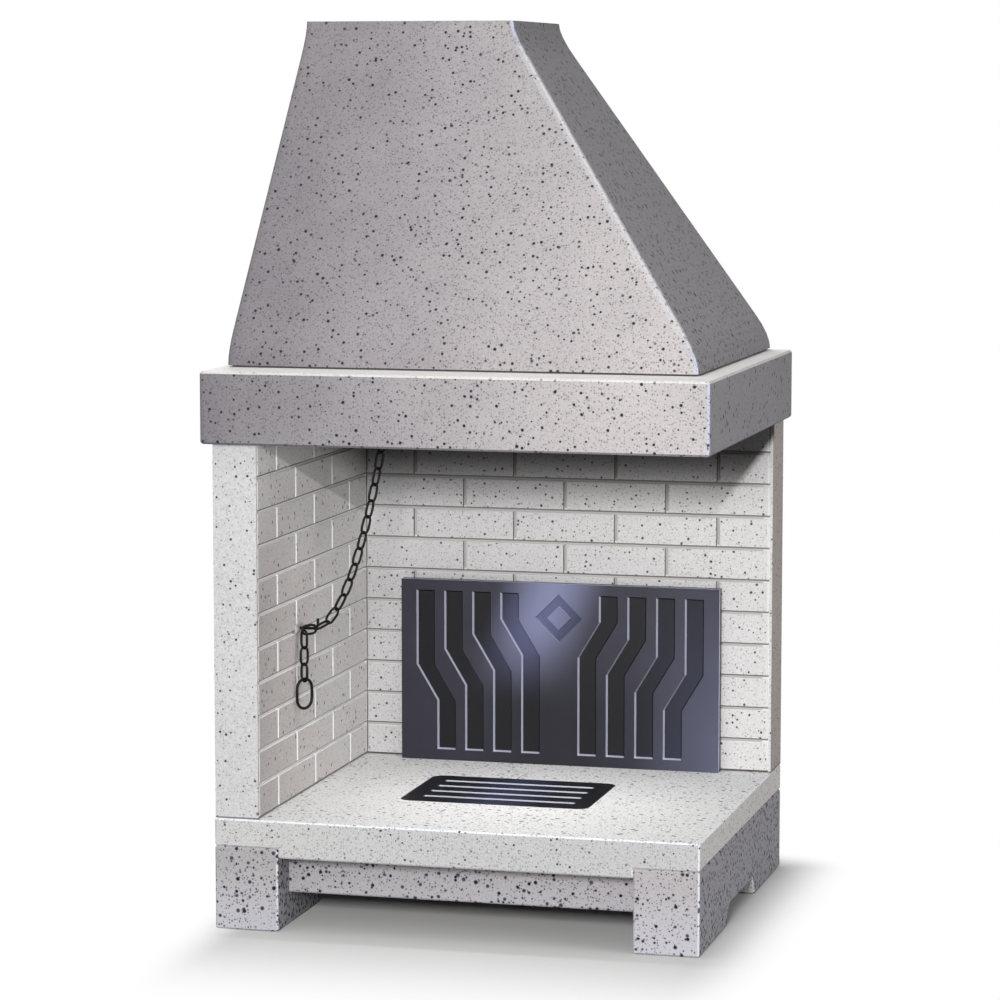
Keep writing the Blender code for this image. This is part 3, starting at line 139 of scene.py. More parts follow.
# %% Mask helpers
def all_of(tree, *masks):
    """The product of masks."""
    product = masks[0]
    for mask in masks[1:]:
        product = add(tree, "Math", [product, mask], operation="MULTIPLY")
    return product


def band(tree, value, rise, fall):
    """1 inside a band; it rises over one span of the value and falls over the other."""
    return all_of(tree, add(tree, "MapRange", [value, *rise, 0.0, 1.0]),
                  add(tree, "MapRange", [value, *fall, 1.0, 0.0]))


print("mask helpers:", all_of.__name__, band.__name__)

# %% [markdown]
# ## Stone chips
# The pieces are cast from white cement, sand and chips of dark stone, then lightly
# blasted, so that chips from 2 to 9 mm show as flecks. A chip is a small solid spread
# through the whole casting. A 3D Voronoi pattern behaves the same way: each cell holds
# one chip, and the surface cuts some of them. Each chip's size comes from its cell's
# random colour, and a second channel of that colour gives its tone.

# %% Stone chips
SMALLEST_CHIP, LARGEST_CHIP = 0.35, 1.25    # shares of the stated radius


def chips(tree, place, spacing_mm, radius_mm, softness=0.25):
    """A mask of round chips, one in each Voronoi cell, and their random tone."""
    cells = add(tree, "TexVoronoi",
                {"Vector": place, "Scale": 1 / (spacing_mm * MM), "Randomness": 1.0})
    pick = add(tree, "SeparateColor", {"Color": cells.outputs["Color"]})
    size = add(tree, "MapRange",
               [pick.outputs["Red"], 0.0, 1.0, SMALLEST_CHIP * radius_mm / spacing_mm,
                LARGEST_CHIP * radius_mm / spacing_mm])
    near = add(tree, "Math", [cells.outputs["Distance"], size], operation="DIVIDE")
    mask = add(tree, "MapRange", [near, 1 - softness, 1 + softness, 1.0, 0.0])
    return mask, pick.outputs["Green"]


print("cells on a square decimetre at 12 mm:", round((100 / 12) ** 2))

# %% [markdown]
# ## Painted edge highlights
# The corners of the cast cement get a painted highlight, a pale colour where they would
# catch the light. The imported pieces have a small chamfer on each corner. Its direction
# lies halfway between two axes, as no broad face's does, so the direction finds it. The
# corners at the left, beside the building's wall, stay without it. On the hearth the
# level corners get the painted highlight too.

# %% Painted edge highlights
def edge_highlight_mask(tree, ledges):
    """1 on the upright chamfers at the right; ledges is the share on a top's chamfers."""
    normal = add(tree, "NewGeometry").outputs["Normal"]
    steep = add(tree, "VectorMath", [normal], operation="ABSOLUTE")
    either_way = add(tree, "SeparateXYZ", [steep]).outputs
    toward = add(tree, "SeparateXYZ", [normal]).outputs
    corner = add(tree, "Math", [toward["X"], either_way["Y"]], operation="MINIMUM")
    upright = add(tree, "MapRange", [corner, 0.45, 0.65, 0.0, 1.0])
    level = add(tree, "Math", [either_way["X"], either_way["Y"]], operation="MAXIMUM")
    rim = add(tree, "Math", [level, toward["Z"]], operation="MINIMUM")
    return add(tree, "Math", [upright, add(tree, "MapRange", [rim, 0.45, 0.65, 0.0, ledges])],
               operation="MAXIMUM")


print("a chamfer at 45 degrees has two shares of", round(math.sqrt(0.5), 3))

# %% [markdown]
# ## Cast cement
# To the eye this cement is a matt, uneven ground full of round flecks. The ground goes
# from one colour at the left to another at the right, a painted falloff of the light,
# broken into clouds of a hand's width because a mix is never quite even, and sand roughens
# it. Upper faces get a painted light tone, and faces at the right a tone of their own,
# painted light on the walls and the hearth and painted shade on the supports and the hood.
# The grit and then the bold chips are laid over it, and pores give a relief of less than
# half a millimetre. Every casting has its own mix, so a function makes the material from
# its colours and its sizes in millimetres.

# %% Cast cement
CLOUD_MM, SAND_MM, PORE_MM, GRIT_MM = 160, 3.5, 2.2, 1.5
AWAY_FROM_GRIT = (0.37, 0.71, 0.19)     # so that chips and grit don't share their cells
SIDE_GAP, SIDE_RADIUS = 1.2, 1.3        # chips at the right are larger and wider apart


# Painted light: the left and right colours make a painted falloff of light across the piece,
# broken up by clouds.
def ground_with_painted_falloff(tree, place, left, right):
    where = add(tree, "SeparateXYZ", [place]).outputs
    across = add(tree, "MapRange", [where["X"], -0.5, 0.35, -0.35, 0.65])
    clouds = add(tree, "TexNoise", [place, 1 / (CLOUD_MM * MM), 4.0])
    uneven = add(tree, "MapRange", [clouds, 0.3, 0.7, 0.42, 0.58])
    moved = add(tree, "Math", [across, uneven], operation="ADD")
    falloff_with_clouds = add(tree, "MapRange", [moved, 0.12, 1.3, 0.0, 1.0])
    return add(tree, "Mix", [falloff_with_clouds, linear(left), linear(right)], data_type="RGBA")


def cast_cement(name, left, right, upper, side, chip, grit, chip_mm, chip_gap, grit_gap,
                grit_share, highlight_colour="#eef0f6", ledges=0.0, side_chips=0.0, ground=None, cover=None):
    """Ground colours, then sand, painted edge highlights, chips, and last what covers the chips.
    """
    made, tree, shader = new_material(name, Roughness=0.82, Specular_IOR_Level=0.35)
    place = add(tree, "TexCoord").outputs["Object"]
    faces = add(tree, "SeparateXYZ", [add(tree, "NewGeometry").outputs["True Normal"]]).outputs
    colour = ground_with_painted_falloff(tree, place, left, right)
    # Painted light: faces that look up get the upper colour.
    upward = add(tree, "MapRange", [faces["Z"], 0.5, 0.9, 0.0, 1.0])
    colour = add(tree, "Mix", [upward, colour, linear(upper)], data_type="RGBA")
    # The faces at the right get the side colour: painted light on the walls and the hearth,
    # painted shade on the supports and the hood.
    rightward = add(tree, "MapRange", [faces["X"], 0.4, 0.8, 0.0, 0.75])
    colour = add(tree, "Mix", [rightward, colour, linear(side)], data_type="RGBA")
    grains = add(tree, "TexNoise", [place, 1 / (SAND_MM * MM), 2.0])
    sand = add(tree, "MapRange", [grains, 0.3, 0.7, 0.86, 1.08])
    sandy = add(tree, "CombineColor", [sand, sand, sand])
    colour = add(tree, "Mix", [1.0, colour, sandy], data_type="RGBA", blend_type="MULTIPLY")
    if ground:
        colour = ground(tree, place, faces, colour)
    # Painted highlight on the corners, in the highlight colour.
    lighter_marks = all_of(tree, edge_highlight_mask(tree, ledges), 0.8)
    colour = add(tree, "Mix", [lighter_marks, colour, linear(highlight_colour)], data_type="RGBA")
    fine, tone = chips(tree, place, grit_gap, GRIT_MM, softness=0.4)
    stone = add(tree, "Mix", [tone, linear(chip), linear(grit)], data_type="RGBA")
    colour = add(tree, "Mix", [all_of(tree, fine, grit_share), colour, stone], data_type="RGBA")
    shifted = add(tree, "VectorMath", [place, AWAY_FROM_GRIT], operation="ADD")
    bold, tone = chips(tree, shifted, chip_gap, chip_mm)
    seldom_pale = add(tree, "Math", [tone, 6.0], operation="POWER")
    stone = add(tree, "Mix", [seldom_pale, linear(chip), linear(grit)], data_type="RGBA")
    colour = add(tree, "Mix", [bold, colour, stone], data_type="RGBA")
    if side_chips:
        broad, tone = chips(tree, place, SIDE_GAP * chip_gap, SIDE_RADIUS * chip_mm)
        aside = add(tree, "MapRange", [faces["X"], 0.4, 0.6, 0.0, side_chips])
        stone = add(tree, "Mix", [tone, linear(chip), linear("#2c2d40")], data_type="RGBA")
        colour = add(tree, "Mix", [all_of(tree, broad, aside), colour, stone], data_type="RGBA")
    if cover:
        colour = cover(tree, place, faces, colour)
    plug(tree, colour, shader.inputs["Base Color"])
    pores = add(tree, "TexNoise", [place, 1 / (PORE_MM * MM), 3.0])
    height = add(tree, "Math", [pores, bold], operation="SUBTRACT")
    relief = add(tree, "Bump", {"Strength": 0.35, "Distance": 0.4 * MM, "Height": height})
    plug(tree, relief, shader.inputs["Normal"])
    return made


print("sand", SAND_MM, "mm, pores", PORE_MM, "mm, clouds", CLOUD_MM, "mm")

# %% [markdown]
# ## Supports
# The supports and rails carry the weight, so their mix is the coarsest: large navy chips
# in a mauve-grey ground. The foot turns paler towards the floor. The rear side of the notch
# under each support gets a painted light, nearly white, and the faces at the right a
# painted shade.

# %% Supports
PALE_FOOT = 130 * MM


def pale_foot_painted_light_and_shade(tree, place, faces, colour):
    where = add(tree, "SeparateXYZ", [place]).outputs
    foot = add(tree, "MapRange", [where["Z"], 0.0, PALE_FOOT, 0.6, 0.0])
    colour = add(tree, "Mix", [foot, colour, linear("#d6d5e0")], data_type="RGBA")
    # Painted light: the rear side of the notch, which faces the front, nearly white.
    frontward = add(tree, "MapRange", [faces["Y"], -0.6, -0.3, 1.0, 0.0])
    painted_light_rear_half = add(tree, "MapRange", [where["Y"], 0.05, 0.06, 0.0, 0.9])
    colour = add(tree, "Mix", [all_of(tree, frontward, painted_light_rear_half), colour, linear("#fbfcf8")],
                 data_type="RGBA")
    # Painted shade on the faces at the right.
    rightward = add(tree, "MapRange", [faces["X"], 0.5, 0.8, 0.0, 0.7])
    return add(tree, "Mix", [rightward, colour, linear("#8e8d91")], data_type="RGBA")


# Left to right a painted falloff of light; upper is painted light on the tops, side painted shade
# on the faces at the right.
support_cement = cast_cement(
    "cast_cement_mauve_supports", left="#aeaaab", right="#bab5b7", upper="#c6c1c4", side="#a7a3a8",
    chip="#15162a", grit="#4c4c60", chip_mm=3.4, chip_gap=12, grit_gap=5.4, grit_share=0.85,
    side_chips=0.9, ground=pale_foot_painted_light_and_shade)
dress(support_cement, *named("base_support", "base_front_rail", "base_rear_rail"))

# %% [markdown]
# ## Hearth
# The hearth is nearly white with small grey flecks. It was levelled with a trowel, which
# turns flat chips parallel to the surface, so they show wider on top than at the sides.

# %% Hearth
def laid_chips(tree, place, faces, colour):
    flat, tone = chips(tree, place, 21, 3.8)
    upward = add(tree, "MapRange", [faces["Z"], 0.6, 0.8, 0.0, 0.85])
    stone = add(tree, "Mix", [tone, linear("#2c2c33"), linear("#5a585b")], data_type="RGBA")
    return add(tree, "Mix", [all_of(tree, flat, upward), colour, stone], data_type="RGBA")


# Left to right a painted falloff of light; upper is painted light on the top, side painted light
# on the right side, and ledges puts the painted edge highlight on the top's corners.
hearth_cement = cast_cement(
    "cast_cement_white_hearth", left="#cdcccb", right="#c5c4c5", upper="#eeedec", side="#dad3d0",
    chip="#38383f", grit="#8f8c8c", chip_mm=2.2, chip_gap=12, grit_gap=4.8, grit_share=0.65,
    ledges=1.0, cover=laid_chips)
dress(hearth_cement, "hearth_slab")

# %% [markdown]
# ## Mantel and hood
# The mantel and the hood are a warmer grey with blue-black chips, with a strong painted
# shade toward the left. Faces that look up, such as the ledge round the hood's foot, get a
# painted light, near white in strokes, which hides most chips there. Faces that look down
# are darkened.

# %% Mantel and hood
STROKE_MM = 70


def painted_ledge_light_and_dark_underside(tree, place, faces, colour):
    upward = add(tree, "MapRange", [faces["Z"], 0.6, 0.8, 0.0, 1.0])
    strokes = add(tree, "TexNoise", [place, 1 / (STROKE_MM * MM), 3.0])
    lit_share = add(tree, "MapRange", [strokes, 0.3, 0.7, 0.95, 0.65])
    # Painted light on the faces that look up, near white.
    colour = add(tree, "Mix", [all_of(tree, upward, lit_share), colour, linear("#f8f5f1")],
                 data_type="RGBA")
    # Faces that look down are darkened.
    underside = add(tree, "MapRange", [faces["Z"], -0.75, -0.55, 0.8, 0.0])
    return add(tree, "Mix", [underside, colour, linear("#4d4a58")], data_type="RGBA")


# Left to right a strong painted falloff of light; upper is painted light on the ledge, side
# painted shade on the faces at the right, and the highlight colour the pale blue of the painted
# edge highlight.
hood_cement = cast_cement(
    "cast_cement_grey_hood", left="#79757a", right="#cac4c4", upper="#e6e3e3", side="#77757a",
    chip="#171a2b", grit="#6a6772", chip_mm=2.7, chip_gap=12.5, grit_gap=4.8, grit_share=0.6,
    highlight_colour="#cdd3e8", side_chips=0.8, cover=painted_ledge_light_and_dark_underside)
dress(hood_cement, "mantel_ring", "hood_shell")

# %% [markdown]
# ## Brick walls
# The walls are cast in one piece each, with a brick relief on the inside. Eleven courses
# fill the height. The masks below need the planes of the bricks' faces and the ends of
# the walls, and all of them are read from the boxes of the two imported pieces.

# %% Brick measures
LEFT_WALL, BACK_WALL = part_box("left_wall"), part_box("back_wall")
BRICK_FACE_X = LEFT_WALL[1][0]
WALL_FRONT = LEFT_WALL[0][1]
BRICK_FACE_Y = BACK_WALL[0][1]
BACK_WALL_END = BACK_WALL[1][0]
WALL_BOTTOM, WALL_TOP = BACK_WALL[0][2], BACK_WALL[1][2]
COURSES = 11
COURSE = (WALL_TOP - WALL_BOTTOM) / COURSES
print("brick faces at x", round(BRICK_FACE_X, 4), "and y", round(BRICK_FACE_Y, 4),
      "course", round(COURSE / MM, 1), "mm")

# %% [markdown]
# The joints get a painted light, near white, as if their lips were lit. A joint is what
# lies a little behind the plane of the brick faces and before its floor. Edges that look
# down, the upper half of each level joint and the left side of each upright joint of the
# back wall get a dark line of painted shadow, and the floors of the upright joints a painted
# shade. The place within a course tells the level joints from the upright ones.

# %% Joints
SKIN = 0.15 * MM            # the brick's face itself stays clear of the joint's colour
JOINT_FLOOR = 5.6 * MM
PLAIN_END = 20 * MM         # the back wall's free end has no joints this near


def joint_masks(tree, where):
    """The joints of the back wall and of the left wall."""
    in_back = all_of(tree,
                     band(tree, where["Y"], (BRICK_FACE_Y + SKIN, BRICK_FACE_Y + 3 * SKIN),
                          (BRICK_FACE_Y + JOINT_FLOOR, BRICK_FACE_Y + JOINT_FLOOR + MM)),
                     band(tree, where["X"], (BRICK_FACE_X - 2 * MM, BRICK_FACE_X - MM),
                          (BACK_WALL_END - 7 * MM, BACK_WALL_END - 6.5 * MM)))
    in_left = all_of(tree,
                     band(tree, where["X"],
                          (BRICK_FACE_X - JOINT_FLOOR - MM, BRICK_FACE_X - JOINT_FLOOR),
                          (BRICK_FACE_X - 3 * SKIN, BRICK_FACE_X - SKIN)),
                     band(tree, where["Y"], (WALL_FRONT + 6 * MM, WALL_FRONT + 7 * MM),
                          (BRICK_FACE_Y + MM, BRICK_FACE_Y + 2 * MM)))
    return in_back, in_left


def painted_joint_shade(tree, where, faces, joint, in_back):
    """The painted shade on the floors of the upright joints, and the painted shadow lines along
    the joints' edges.
    """
    up_the_wall = add(tree, "Math", [where["Z"], WALL_BOTTOM], operation="SUBTRACT")
    courses_up = add(tree, "Math", [up_the_wall, COURSE], operation="DIVIDE")
    in_course = add(tree, "Math", [courses_up], operation="FRACT")
    before_end = add(tree, "MapRange",
                     [where["X"], BACK_WALL_END - PLAIN_END - 2.5 * MM,
                      BACK_WALL_END - PLAIN_END + 2.5 * MM, 1.0, 0.0])
    deep = add(tree, "MapRange",
               [where["Y"], BRICK_FACE_Y + 3.5 * MM, BRICK_FACE_Y + 4 * MM, 0.0, 0.6])
    beside_brick = add(tree, "MapRange", [in_course, 0.1, 0.12, 0.0, 1.0])
    floors = all_of(tree, in_back, before_end, deep, beside_brick)

    rightward = add(tree, "MapRange", [faces["X"], 0.3, 0.5, 0.0, 1.0])
    looking_right = all_of(tree, in_back, before_end, rightward)
    looking_down = add(tree, "MapRange", [faces["Z"], -0.5, -0.3, 1.0, 0.0])
    bed_starts = add(tree, "MapRange", [in_course, 0.002, 0.012, 0.0, 1.0])
    bed_ends = add(tree, "MapRange", [in_course, 0.06, 0.07, 0.8, 0.0])
    edges = add(tree, "Math", [looking_right, all_of(tree, bed_starts, bed_ends)],
                operation="MAXIMUM")
    joint_shadow_lines = all_of(tree, add(tree, "Math", [looking_down, edges], operation="MAXIMUM"), joint)
    return floors, joint_shadow_lines


print("courses:", COURSES, "joint floor", round(JOINT_FLOOR / MM, 1), "mm behind the bricks")

# %% [markdown]
# Under the mantel a painted shadow darkens the walls, the mantel's shadow from the lamp in
# front. On the side wall it begins along a slanting line that falls toward the back. On the
# back wall it fades downward and ends at the right along a slant, where light comes in from
# the open side. It is kept inside the chamber, so that the walls' outer faces stay free of it.

# %% Mantel's painted shadow
SHADOW_SLANT = 0.3            # how much lower the painted shadow begins for each metre to the back
SHADOW_END = (0.345, 0.746)   # x and z of a point on the slant at its right end
SHADOW_END_LEAN = 0.76        # metres to the right for each metre upward


def painted_mantel_shadow(tree, where, side):
    behind = add(tree, "Math", [where["Y"], WALL_FRONT], operation="SUBTRACT")
    lean = add(tree, "Math", [behind, SHADOW_SLANT], operation="MULTIPLY")
    from_top = add(tree, "Math", [where["Z"], WALL_TOP], operation="SUBTRACT")
    above = add(tree, "Math", [from_top, lean], operation="ADD")
    veil = add(tree, "MapRange", [above, -10 * MM, 150 * MM, 0.0, 0.9],
               interpolation_type="SMOOTHSTEP")
    sharp = add(tree, "MapRange", [above, 0.0, 5 * MM, 0.0, 0.3])
    darkest = add(tree, "Math", [veil, all_of(tree, sharp, side)], operation="MAXIMUM")

    up = add(tree, "Math", [where["Z"], SHADOW_END[1]], operation="SUBTRACT")
    along = add(tree, "Math", [up, -SHADOW_END_LEAN], operation="MULTIPLY")
    upright = add(tree, "Math", [where["X"], along], operation="ADD")
    end = add(tree, "MapRange", [upright, SHADOW_END[0], SHADOW_END[0] + 17 * MM, 1.0, 0.0])
    past_side = add(tree, "MapRange",
                    [where["X"], BRICK_FACE_X - 8 * MM, BRICK_FACE_X - 7 * MM, 0.0, 1.0])
    before_back = add(tree, "MapRange",
                      [where["Y"], BRICK_FACE_Y + 7 * MM, BRICK_FACE_Y + 8 * MM, 1.0, 0.0])
    return all_of(tree, darkest, end, past_side, before_back)


print("soot begins at the wall's front at z", round(WALL_TOP, 3))

# %% [markdown]
# The wall's cement is nearly white with small grey flecks. Over it come the coarse chips
# of the side wall, the joints painted white as if lit, the painted shadow lines along their
# edges, a painted shadow line where the wall meets the hearth, the greyer bricks beside the
# opening, painted shade on the back wall's free end, and last the mantel's painted shadow.

# %% Walls
def brick_relief(tree, place, faces, colour):
    where = add(tree, "SeparateXYZ", [place]).outputs
    in_back, in_left = joint_masks(tree, where)
    joint = add(tree, "Math", [in_back, in_left], operation="MAXIMUM")
    side = add(tree, "MapRange",
               [where["X"], BRICK_FACE_X + 0.5 * MM, BRICK_FACE_X + MM, 1.0, 0.0])

    inner = add(tree, "MapRange",
                [where["X"], BRICK_FACE_X - 8 * MM, BRICK_FACE_X - 7 * MM, 0.0, 0.8])
    coarse, tone = chips(tree, place, 17, 3.0)
    stone = add(tree, "Mix", [tone, linear("#35302f"), linear("#6d6764")], data_type="RGBA")
    colour = add(tree, "Mix", [all_of(tree, coarse, side, inner), colour, stone],
                 data_type="RGBA")
    # Painted light: the joints near white.
    lit_joints = all_of(tree, joint, 0.9)
    colour = add(tree, "Mix", [lit_joints, colour, linear("#fbfaf9")], data_type="RGBA")

    floors, joint_shadow_lines = painted_joint_shade(tree, where, faces, joint, in_back)
    # Painted shade on the upright joints' floors, painted shadow lines along their edges, and a
    # painted shadow line where the wall meets the hearth.
    colour = add(tree, "Mix", [floors, colour, linear("#8f8682")], data_type="RGBA")
    colour = add(tree, "Mix", [joint_shadow_lines, colour, linear("#6b625e")], data_type="RGBA")
    painted_foot_shadow = add(tree, "MapRange",
              [where["Z"], WALL_BOTTOM + 2 * MM, WALL_BOTTOM + 3 * MM, 0.75, 0.0])
    colour = add(tree, "Mix", [painted_foot_shadow, colour, linear("#4b4441")], data_type="RGBA")

    brick = add(tree, "Math", [1.0, joint], operation="SUBTRACT")
    rightward = add(tree, "MapRange", [faces["X"], 0.3, 0.6, 0.0, 1.0])
    near_front = add(tree, "MapRange", [where["Y"], WALL_FRONT, 0.15, 0.55, 0.0])
    low = add(tree, "MapRange", [where["Z"], 0.6, 0.9, 1.0, 0.1])
    by_opening = all_of(tree, side, brick, rightward, near_front, low)
    colour = add(tree, "Mix", [by_opening, colour, linear("#a89b97")], data_type="RGBA",
                 blend_type="MULTIPLY")
    # Painted shade on the back wall's free end, which faces right.
    painted_shade_end_face = add(tree, "MapRange",
                   [where["X"], BACK_WALL_END - MM, BACK_WALL_END - 0.5 * MM, 0.0, 0.85])
    colour = add(tree, "Mix", [painted_shade_end_face, colour, linear("#b3aaa6")], data_type="RGBA",
                 blend_type="MULTIPLY")
    # The mantel's painted shadow, laid over everything else.
    painted_shadow = painted_mantel_shadow(tree, where, side)
    return add(tree, "Mix", [painted_shadow, colour, linear("#120e0b")], data_type="RGBA")


# Left to right a painted falloff of light; upper is painted light on the tops, side painted light
# on the side wall's inner face.
wall_cement = cast_cement(
    "cast_cement_white_walls", left="#cbcacb", right="#e3e1e0", upper="#e2e0de", side="#e6e1de",
    chip="#3a3838", grit="#98928f", chip_mm=2.3, chip_gap=12, grit_gap=5.6, grit_share=0.6,
    cover=brick_relief)
dress(wall_cement, "left_wall", "back_wall")
print("cement mixes:", sum(m.name.startswith("cast_cement") for m in bpy.data.materials))

# %% [markdown]
# ## Cast iron
# The fireback, the grate and the damper are sand-cast grey iron, brushed with a
# blue-black stove blacking. To the eye it is dark, with a soft sheen that breaks up in
# small grains. Sand casting leaves a fine orange-peel skin, and a bump with lumps of
# 1.5 mm gives it: finer ones wouldn't show from this far. Patches of 60 mm make the
# blacking uneven, as a brush does.

# %% Cast iron
SKIN_MM, BLACKING_MM = 1.5, 60


def cast_iron(name, ground, lighter_marks, roughness, more=None):
    made, tree, shader = new_material(name, Metallic=0.4)
    place = add(tree, "TexCoord").outputs["Object"]
    skin = add(tree, "TexNoise", [place, 1 / (SKIN_MM * MM), 3.0])
    strokes = add(tree, "TexNoise", [place, 1 / (BLACKING_MM * MM), 3.0])
    colour = add(tree, "Mix", [strokes, linear(ground), linear(lighter_marks)], data_type="RGBA")
    if more:
        faces = add(tree, "SeparateXYZ",
                    [add(tree, "NewGeometry").outputs["True Normal"]]).outputs
        colour = more(tree, place, faces, colour)
    plug(tree, colour, shader.inputs["Base Color"])
    rough = add(tree, "MapRange", [skin, 0.3, 0.7, roughness - 0.06, roughness + 0.08])
    plug(tree, rough, shader.inputs["Roughness"])
    relief = add(tree, "Bump", {"Strength": 0.25, "Distance": 0.25 * MM, "Height": skin})
    plug(tree, relief, shader.inputs["Normal"])
    return made


DAMPER_CASTINGS = ("throat_frame", "damper_flap", "damper_weight", "damper_lever")
dress(cast_iron("cast_iron_damper", "#2a2a2e", "#38383c", 0.5), *DAMPER_CASTINGS)
print("damper castings:", len(DAMPER_CASTINGS))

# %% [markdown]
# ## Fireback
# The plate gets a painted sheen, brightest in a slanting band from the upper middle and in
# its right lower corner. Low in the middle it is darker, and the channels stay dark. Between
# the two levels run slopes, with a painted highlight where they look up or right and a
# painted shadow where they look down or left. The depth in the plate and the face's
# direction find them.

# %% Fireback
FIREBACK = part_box("fireback")
PLATE_FRONT, PLATE_RIGHT = FIREBACK[0][1], FIREBACK[1][0]
PLATE_LOW, PLATE_HIGH = FIREBACK[0][2], FIREBACK[1][2]
MIDDLE = (FIREBACK[0][0] + PLATE_RIGHT) / 2


def painted_sheen_and_dark_low_middle(tree, where):
    from_middle = add(tree, "Math", [where["X"], MIDDLE], operation="SUBTRACT")
    slant = add(tree, "MapRange", [where["Z"], PLATE_LOW, PLATE_HIGH, -0.15, -0.01])
    from_slant = add(tree, "Math", [from_middle, slant], operation="SUBTRACT")
    off = add(tree, "Math", [from_slant], operation="ABSOLUTE")
    narrow = add(tree, "MapRange", [off, 0.0, 0.13, 1.0, 0.0], interpolation_type="SMOOTHSTEP")
    upper = add(tree, "MapRange", [where["Z"], PLATE_LOW + 0.12, PLATE_HIGH - 0.06, 0.0, 1.0],
                interpolation_type="SMOOTHSTEP")
    stripe = all_of(tree, narrow, upper)

    to_right = add(tree, "MapRange", [where["X"], PLATE_RIGHT - 0.18, PLATE_RIGHT, 0.0, 0.42])
    downward = add(tree, "MapRange", [where["Z"], PLATE_LOW, PLATE_HIGH, 0.9, 0.1])
    corner = all_of(tree, to_right, downward)

    aside = add(tree, "Math", [from_middle], operation="ABSOLUTE")
    central = add(tree, "MapRange", [aside, 0.05, 0.2, 0.75, 0.15])
    lower = add(tree, "MapRange", [where["Z"], PLATE_LOW + 0.1, PLATE_LOW + 0.25, 1.0, 0.0],
                interpolation_type="SMOOTHSTEP")
    dark_low_middle = all_of(tree, central, lower)
    sheen = add(tree, "Math", [stripe, corner], operation="MAXIMUM")
    return sheen, dark_low_middle


def relief_with_painted_light(tree, place, faces, colour):
    where = add(tree, "SeparateXYZ", [place]).outputs
    sheen, dark_low_middle = painted_sheen_and_dark_low_middle(tree, where)
    colour = add(tree, "Mix", [dark_low_middle, colour, linear("#17171f")], data_type="RGBA")
    # Painted sheen on the ribs and on the channels' floors.
    ribs = add(tree, "Mix", [sheen, colour, linear("#7d81a0")], data_type="RGBA")
    floors = add(tree, "Mix", [sheen, linear("#0d0d14"), linear("#5c6184")], data_type="RGBA")
    deep = add(tree, "MapRange",
               [where["Y"], PLATE_FRONT + 4 * MM, PLATE_FRONT + 5.5 * MM, 0.0, 1.0])
    colour = add(tree, "Mix", [deep, ribs, floors], data_type="RGBA")
    slope = band(tree, where["Y"], (PLATE_FRONT + 0.2 * MM, PLATE_FRONT + 0.6 * MM),
                 (PLATE_FRONT + 7 * MM, PLATE_FRONT + 8 * MM))
    toward = add(tree, "Math", [faces["X"], faces["Z"]], operation="ADD")
    # Painted highlight on slopes that look up or right, painted shadow on those that look down or
    # left.
    slope_highlight = all_of(tree, slope, add(tree, "MapRange", [toward, 0.05, 0.5, 0.0, 1.0]))
    shadow = all_of(tree, slope, add(tree, "MapRange", [toward, -0.4, -0.1, 1.0, 0.0]))
    colour = add(tree, "Mix", [slope_highlight, colour, linear("#cdd0e4")], data_type="RGBA")
    return add(tree, "Mix", [shadow, colour, linear("#08070b")], data_type="RGBA")


dress(cast_iron("cast_iron_fireback", "#2c2b36", "#373643", 0.42, relief_with_painted_light), "fireback")
print("fireback middle at x", round(MIDDLE, 4))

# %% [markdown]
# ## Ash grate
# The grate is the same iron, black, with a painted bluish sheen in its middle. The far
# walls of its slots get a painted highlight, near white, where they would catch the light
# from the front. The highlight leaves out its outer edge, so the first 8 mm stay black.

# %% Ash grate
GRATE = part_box("ash_grate")
GRATE_FRONT = GRATE[0][1]
GRATE_MIDDLE = (GRATE[0][0] + GRATE[1][0]) / 2


def grate_painted_highlights(tree, place, faces, colour):
    where = add(tree, "SeparateXYZ", [place]).outputs
    from_middle = add(tree, "Math", [where["X"], GRATE_MIDDLE], operation="SUBTRACT")
    off = add(tree, "Math", [from_middle], operation="ABSOLUTE")
    # Painted sheen in the middle.
    painted_sheen_band = add(tree, "MapRange", [off, 0.0, 0.11, 0.55, 0.0], interpolation_type="SMOOTHSTEP")
    colour = add(tree, "Mix", [painted_sheen_band, colour, linear("#474d72")], data_type="RGBA")
    # Painted highlight on the slots' far walls.
    frontward = add(tree, "MapRange", [faces["Y"], -0.9, -0.6, 0.95, 0.0])
    in_slots = add(tree, "MapRange",
                   [where["Y"], GRATE_FRONT + 8 * MM, GRATE_FRONT + 9 * MM, 0.0, 1.0])
    return add(tree, "Mix", [all_of(tree, frontward, in_slots), colour, linear("#f0f2ff")],
               data_type="RGBA")


dress(cast_iron("cast_iron_grate", "#0a090d", "#131219", 0.4, grate_painted_highlights), "ash_grate")
print("grate middle at x", round(GRATE_MIDDLE, 4))

# %% [markdown]
# ## Sheet, screws and bushes
# Sheet steel comes from the rolling mill grey and softly shining, with a faint grain along
# the sheet. Noise that is stretched 30 times along one axis draws it, and the same noise
# varies the roughness. Screws, bolts and dowels are zinc plated, which is paler, and the
# shaft's bushes are sintered bronze, a dull brown-gold with tiny pores.

# %% Sheet, screws and bushes
PATCH_MM = 45


